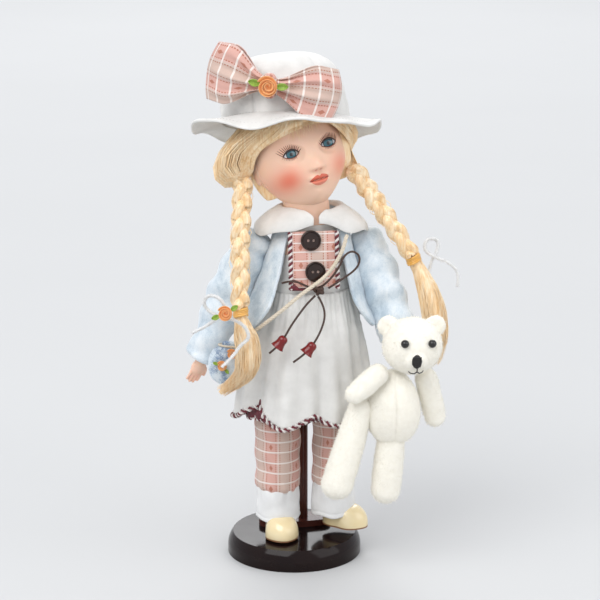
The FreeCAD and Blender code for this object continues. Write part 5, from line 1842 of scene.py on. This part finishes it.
# ---------------------------------------------------------------------------------- legs
@dataclass
class Leg:
    """One plaid trouser leg with its white cuff and painted porcelain shoe."""

    name: str
    x: float
    y: float
    sole: float
    toe_turn: float
    radius: float
    cuff_top: float
    top: float = 104.0
    cuff_radius: float = 13.4
    cuff_long: float = 20.5
    shoe_half: Vector = field(default_factory=lambda: Vector((11.0, 15.0, 7.0)))

    def build(self, plaid: bpy.types.Material, cotton: bpy.types.Material,
              glaze: list[bpy.types.Material]) -> None:
        """Makes the leg's pieces."""
        self.add_trouser(plaid)
        self.add_cuff(cotton)
        self.add_shoe(glaze)

    def add_trouser(self, plaid: bpy.types.Material) -> None:
        """Makes the trouser leg, gathered into its cuff."""
        def place(u: float, v: float) -> Vector:
            """Returns a place on the cloth, from the cuff up."""
            turn = u * TAU + 0.5
            height = mix(self.cuff_top - 1.5, self.top, v)
            spot = Vector((math.sin(turn) * self.radius, -math.cos(turn) * self.radius, height))
            out = (1.1 * crinkle(spot + Vector((self.x * 3, 0, 0)), 12)
                   + 0.4 * math.sin(height * 0.33 + 2 * math.sin(turn)))
            out += (0.35 * math.sin(11 * turn) * (1 - smooth(0.0, 0.2, v))
                    - 1.2 * (1 - smooth(0.0, 0.05, v)) - 0.4)
            out -= 2.6 * smooth(88, 99, height)
            return Vector((self.x, self.y, 0)) + spot + Vector((math.sin(turn), -math.cos(turn), 0)) * out

        piece = make_piece(f"{self.name}_plaid_leg",
                           new_grid(120, 70, place, (100, self.top - self.cuff_top)), [plaid],
                           f"{self.name}_leg", [f"{self.name}_trouser"], 1.0)

    def add_cuff(self, cotton: bpy.types.Material) -> None:
        """Makes the white cuff, gathered at its top and wavy at its foot."""
        def place(u: float, v: float) -> Vector:
            """Returns a place on the cuff, from its foot up."""
            turn = u * TAU
            height = mix(self.cuff_top - self.cuff_long + 0.5 + 0.7 * math.sin(5 * turn + self.x),
                         self.cuff_top + 0.5, v)
            spot = Vector((math.sin(turn), -math.cos(turn), 0))
            out = self.cuff_radius - 0.9 + 0.9 * (1 - v) + 0.22 * math.sin(17 * turn) * smooth(0.45, 1, v)
            out += (0.7 * crinkle(spot * self.cuff_radius + Vector((self.x, 0, height)), 8)
                    - 1.0 * smooth(0.95, 1, v))
            out -= 0.5 * bump_at(v, 0.12, 0.02)
            return Vector((self.x, self.y, height)) + spot * out

        piece = make_piece(f"{self.name}_white_trouser_cuff", new_grid(160, 30, place, (84, 21)), [cotton],
                           f"{self.name}_leg",
                           [f"{self.name}_cuff"], 1.2)

    def add_shoe(self, glaze: list[bpy.types.Material]) -> None:
        """Makes the porcelain shin, the shoe with its rounded toe, its sole edge and the sock line."""
        half = self.shoe_half
        place = (Matrix.Translation((self.x, self.y, self.sole))
                 @ Matrix.Rotation(math.radians(self.toe_turn), 4, "Z"))

        def shoe(way: Vector) -> Vector:
            """Returns the shoe's surface: a blunt toe, a waist and a rounded heel."""
            ahead = -way.y
            wide = half.x * (0.90 + 0.12 * bump_at(ahead, 0.45, 0.5) - 0.10 * bump_at(ahead, -0.15, 0.3))
            tall = mix(1.0, 0.84, smooth(-0.2, 0.85, ahead)) * 2 * half.z
            up = tall * (0.12 + 0.88 * way.z ** 0.85 if way.z > 0 else 0.12 - 0.12 * abs(way.z) ** 0.5)
            flat = (1 - way.z ** 2) ** 0.5
            grow = 1.0 if flat < 0.01 else flat ** -0.5
            return Vector((way.x * wide * grow, -8.3 + way.y * half.y * grow, max(0.0, up)))

        def sole(way: Vector) -> Vector:
            """Returns the sole's surface."""
            body = shoe(Vector((way.x, way.y, 0)).normalized() * 0.9999 if way.xy.length > 0.01
                        else Vector((0.01, 0, 0)))
            flat = min(1.0, way.xy.length * 1.25)
            return Vector((body.x * flat, -8.3 + (body.y + 8.3) * flat,
                           0.1 + 0.9 * smooth(-0.35, 0.35, way.z)))

        line = [Vector((0, -1.2, 6)), Vector((0, -0.6, 10)), Vector((0, -0.2, 14)), Vector((0, 0, 24)),
                Vector((0, 0, 34))]
        ankle = new_tube(line, lambda u, v: mix(6.6, 5.9, smooth(0, 0.3, v)) + 0.9 * smooth(0.5, 1, v),
                         28, 20)
        ring = [Vector((7.0 * math.sin(t), -1.0 - 8.2 * math.cos(t), 9.7 + 0.9 * math.cos(t))) for t in
                (TAU * step / 24 for step in range(25))]
        welt = new_tube(ring, lambda u, v: 0.75, 8, 72, Vector((0, 0.1, 1)), capped=False)
        bow = new_ball(20, 12, lambda d: Vector((d.x * 3.6 * (1 + 0.4 * abs(d.x)),
                                                 -12.6 + d.y * 1.6, 9.3 + d.z * 1.5)))
        shape = joined([(shifted(new_ball(56, 36, shoe), place), 0),
                        (shifted(new_ball(48, 16, sole), place), 1),
                        (shifted(ankle, place), 2), (shifted(welt, place), 3), (shifted(bow, place), 0)])
        make_piece(f"{self.name}_painted_shoe", shape, glaze, f"{self.name}_leg",
                   [f"{self.name}_shin"])


# ---------------------------------------------------------------------------------- bag
@dataclass
class Bag:
    """The little velour pouch with its gathered mouth and ribbon roses."""

    middle: Vector = field(default_factory=lambda: Vector((-44.5, -20, 130)))
    half: Vector = field(default_factory=lambda: Vector((11, 4.6, 14)))

    def build(self) -> None:
        """Makes the pouch, its drawn neck and two roses."""
        place = Matrix.Translation(self.middle) @ Matrix.Rotation(math.radians(8), 4, "Y")

        def pouch(way: Vector) -> Vector:
            """Returns the pouch's surface, drawn in below its mouth."""
            neck = 1 - 0.42 * bump_at(way.z, 0.80, 0.13)
            pleat = 1 + 0.05 * math.sin(14 * math.atan2(way.x, -way.y)) * smooth(0.3, 0.8, way.z)
            spot = Vector((way.x * self.half.x * neck * pleat, way.y * self.half.y * neck * pleat,
                           way.z * self.half.z))
            return spot + way * 0.6 * crinkle(spot, 5)

        cord = [Vector((6.0 * math.sin(t), -2.9 * math.cos(t), 11.2))
                for t in (TAU * step / 20 for step in range(21))]
        tie = new_tube(cord, lambda u, v: 0.7, 8, 60, Vector((0, 0.1, 1)), capped=False)
        yarn = Thread("pouch_draw_cord", (0.80, 0.73, 0.60), (0.52, 0.44, 0.33), 0.5, 0.2).material()
        shape = joined([(shifted(new_ball(96, 60, pouch), place), 0), (shifted(tie, place), 1)])
        velour = Velour("pouch_velour", (0.50, 0.57, 0.68), (0.20, 0.28, 0.42)).material()
        pouch_piece = make_piece("velour_pouch", shape, [velour, yarn], "bag", ["bag"])
        roses = ((Vector((-41.5, -26.4, 137.5)), (0.2,)), (Vector((-47.5, -25.8, 130)), (2.6, 5.2)))
        for number, (spot, leaves) in enumerate(roses):
            rose = ribbon_rose(spot, Vector((-0.2, -1, 0.1)), 3.2, leaves)
            make_piece(f"pouch_rose_{number + 1}", rose, Ribbon().materials(), "bag")


# ---------------------------------------------------------------------------------- bear
@dataclass
class Bear:
    """The plush bear, stuffed and thread-jointed, with a stitched nose and mouth."""

    head: Vector = field(default_factory=lambda: Vector((64.3, -52.5, 146)))
    skull: float = 17.4
    body: Vector = field(default_factory=lambda: Vector((54, -47, 106)))
    body_half: Vector = field(default_factory=lambda: Vector((16.4, 13.0, 23.6)))
    ears: tuple[Vector, ...] = field(default_factory=lambda: (Vector((50.5, -47, 157)),
                                                              Vector((79, -48.5, 156.5))))
    snout: Vector = field(default_factory=lambda: Vector((64, -66.0, 140.8)))
    limbs: dict[str, tuple[Vector, Vector, float, float]] = field(default_factory=lambda: {
        "bear_right_arm": (Vector((43, -54, 129)), Vector((29, -57, 118.5)), 6.6, 6.0),
        "bear_left_arm": (Vector((75.1, -43.6, 122)), Vector((81.4, -40.6, 97)), 6.6, 6.2),
        "bear_right_leg": (Vector((34, -47.5, 106)), Vector((19.8, -47.5, 59)), 7.4, 9.6),
        "bear_left_leg": (Vector((53, -46, 84)), Vector((50.5, -44.5, 53)), 8.2, 8.8)})
    fibre_long: float = 0.8
    per_mm2: float = 0.85

    def build(self) -> None:
        """Makes the bear's parts."""
        plush = Plush().material()
        face = [(new_ball(
                    80, 56, lambda d: self.head + Vector((d.x * 1.03, d.y, d.z * 0.98)) * self.skull), 0),
                (new_ball(48, 32, lambda d: self.snout + Vector((d.x * 7.6, d.y * 6.6, d.z * 6.2))), 0)]
        for ear in self.ears:
            face.append((new_ball(36, 24, lambda d: ear + Vector((
                d.x * 6.7, d.y * 3.6 + 2.0 * (1 - min(1.0, math.hypot(d.x, d.z))) * (1 if d.y < 0 else 0),
                d.z * 6.7))), 0))
        self.add_plush("bear_plush_head", fused(joined(face), 0.9, 4), plush, "bear", ["bear_head"])
        belly = new_ball(96, 64, lambda d: self.body + Vector((
            d.x * self.body_half.x * (1 - 0.14 * d.z),
            d.y * self.body_half.y - 1.1 * bump_at(d.x, 0, 0.06) * d.y,
            d.z * self.body_half.z)))
        self.add_plush("bear_plush_body", belly, plush, "bear", ["bear_body"])
        for name, (top, end, first, last) in self.limbs.items():
            self.add_plush(f"{name}_plush", self.limb(top, end, first, last), plush, name, [name])
        self.add_face()

    def limb(self, top: Vector, end: Vector, first: float, last: float) -> bmesh.types.BMesh:
        """Returns a stuffed limb with round ends."""
        way = (end - top).normalized()
        foot = top - way * first
        full = (end - top).length + first + last

        def radius(u: float, v: float) -> float:
            """Returns the limb's radius."""
            run = v * full
            if run < first:
                return math.sqrt(max(0.02, first ** 2 - (first - run) ** 2))
            if run > full - last:
                return math.sqrt(max(0.02, last ** 2 - (run - full + last) ** 2))
            part = (run - first) / (full - first - last)
            return mix(first, last, part) + 0.4 * math.sin(math.pi * part)

        def place(u: float, v: float) -> Vector:
            """Returns a place on the limb."""
            side, up = across_of(way, Vector((0, -1, 0.2)))
            turn = u * TAU
            return foot + way * (v * full) + (side * math.cos(turn) + up * math.sin(turn)) * radius(u, v)

        return new_grid(56, 60, place)

    def add_plush(self, name: str, shape: bmesh.types.BMesh, plush: bpy.types.Material, body: str,
                  nodes: list[str]) -> None:
        """Makes one stuffed part: a lumpy skin with a nap of short fibres."""
        for vert in shape.verts:
            spot = vert.co / MM
            vert.co += vert.normal * MM * (0.08 * crinkle(spot, 1.7) + 0.3 * crinkle(spot, 6))
        shape.normal_update()
        chance = random.Random(name)
        fibres = []
        for face in shape.faces:
            want = face.calc_area() / MM ** 2 * self.per_mm2
            count = int(want) + (chance.random() < want % 1)
            corners = [vert.co / MM for vert in face.verts]
            for _ in range(count):
                one, two = chance.random(), chance.random()
                root = corners[0].lerp(corners[1], one).lerp(corners[-1].lerp(corners[-2], one), two)
                lean = Vector((chance.uniform(-1, 1), chance.uniform(-1, 1), chance.uniform(-1.2, 0.6)))
                long = self.fibre_long * chance.uniform(0.5, 1.1)
                fibres.append([root - face.normal * 0.2, root + (face.normal + lean * 0.35) * long * 0.55,
                               root + (face.normal + lean * 0.85) * long])
        piece = make_piece(name, joined([(shape, 0), (new_strands(fibres, 0.11, 0.35), 0)]), [plush],
                           body, nodes)

    def add_face(self) -> None:
        """Makes the stitched nose and mouth."""
        tip = self.snout + Vector((-0.6, -6.3, 0.6))
        nose = new_ball(36, 30, lambda d: tip + Vector((
            d.x * 3.1, d.y * 1.4, d.z * 4.3 * (1 - 0.12 * abs(d.x)))) * (
            1 + 0.03 * math.sin(d.x * 26)))
        stitches = [[tip + Vector((x * wide, deep + 0.12 * abs(x) ** 2, high))
                     for wide, deep, high in ((1.0, -1.5, 3.1), (1.0, -1.75, 0), (0.8, -1.4, -3.1))]
                    for x in (-2.4, -1.8, -1.2, -0.6, 0, 0.6, 1.2, 1.8, 2.4)]
        foot = tip + Vector((0, -0.9, -4.0))
        mouth = [[foot + spot for spot in vectors(*line)] for line in (
            ((0, 0, 0), (0, 0.3, -2.2)),
            ((0, 0.3, -2.0), (-1.6, 0.9, -3.3), (-3.6, 1.8, -3.2), (-4.8, 2.8, -2.2)),
            ((0, 0.3, -2.0), (1.4, 0.9, -3.1), (3.2, 1.8, -2.9), (4.2, 2.6, -2.0)))]
        black = Thread("black_embroidery_thread", (0.022, 0.018, 0.018), (0.006, 0.005, 0.005),
                       0.35, 0.1, 0.5, 0.2).material()
        shape = joined([(nose, 0), (new_strands(stitches, 0.28, 0.9), 0), (new_strands(mouth, 0.38, 0.9), 0)])
        make_piece("bear_stitched_nose", shape, [black], "bear")


# ---------------------------------------------------------------------------------- kept CAD pieces
class KeptPieces:
    """The pieces whose CAD shape is already right, and their finishes."""

    def build(self) -> None:
        """Gives each kept node its finish."""
        lacquer = Gloss("espresso_lacquer", (0.007, 0.003, 0.003), (0.013, 0.006, 0.005),
                        0.12, 0.1, 180, 0.02, 0.15)
        stained = Gloss("red_brown_lacquer", (0.06, 0.014, 0.009), (0.09, 0.024, 0.015),
                        0.22, 0.15, 180, 0.03, 0.25)
        steel = Steel()
        stuffing = Cotton("calico_body", (0.72, 0.66, 0.56), (0.55, 0.49, 0.40))
        finishes = {
            "stand_base": lacquer, "stand_plinth": stained, "stand_post": stained, "post_screw": steel,
            "clip_rod": steel,
            "waist_clip": steel, "torso": stuffing, "right_upper_arm": stuffing, "left_upper_arm": stuffing,
            "right_thigh": stuffing, "left_thigh": stuffing,
            "crown_pate": Thread("pate_card", (0.46, 0.38, 0.27), (0.33, 0.26, 0.18), 1.2, 0.1, 0.8, 0.0),
            "buttons": Gloss("dark_button_plastic", (0.018, 0.009, 0.007), (0.03, 0.014, 0.010),
                             0.12, 0.25, 400, 0.03, 0.35),
            "tie_bells": Gloss("deep_red_bead", (0.22, 0.008, 0.008), (0.10, 0.004, 0.004),
                               0.10, 0.35, 400, 0.02, 0.35),
            "bear_eyes": Gloss("black_bead_glass", (0.006, 0.006, 0.006), (0.012, 0.012, 0.013),
                               0.06, 0.4, 400, 0.01, 0.4)}
        made: dict[str, bpy.types.Material] = {}
        for name, finish in finishes.items():
            if finish.name not in made:
                made[finish.name] = finish.material()
            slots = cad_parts[name].data.materials
            slots.clear()
            slots.append(made[finish.name])
            log.info("%s keeps its CAD shape, in %s", name, finish.name)


def main() -> None:
    """Builds the studio, the cords and every sub-assembly, and reports each piece."""
    logging.basicConfig(level=logging.INFO, format="%(name)s: %(message)s")
    Studio().build()
    Cords().build()
    head = Head()
    head.build()
    HairPieces(head).build()
    Hat().build()
    Dress().build()
    Jacket().build()
    plaid = Plaid("trouser_plaid").material()
    cotton = Cotton("cuff_cotton", (0.88, 0.88, 0.87), (0.72, 0.72, 0.71)).material()
    glaze = [Gloss(*look, 300, 0.03).material() for look in (
        ("cream_shoe_glaze", (0.82, 0.66, 0.36), (0.88, 0.76, 0.50), 0.22, 0.7),
        ("brown_sole_glaze", (0.20, 0.085, 0.035), (0.30, 0.14, 0.06), 0.3, 0.4),
        ("white_sock_glaze", (0.82, 0.80, 0.78), (0.72, 0.66, 0.66), 0.3, 0.4),
        ("mauve_line_glaze", (0.34, 0.17, 0.24), (0.45, 0.27, 0.34), 0.3, 0.4))]
    for leg in (Leg("right", x=-10.8, y=-3.6, sole=14.2, toe_turn=4, radius=14, cuff_top=44.5),
                Leg("left", x=24.3, y=-3.6, sole=17.8, toe_turn=58, radius=13, cuff_top=45.5)):
        leg.build(plaid, cotton, glaze)
    Bag().build()
    Bear().build()
    KeptPieces().build()


if __name__ == "__main__":
    main()
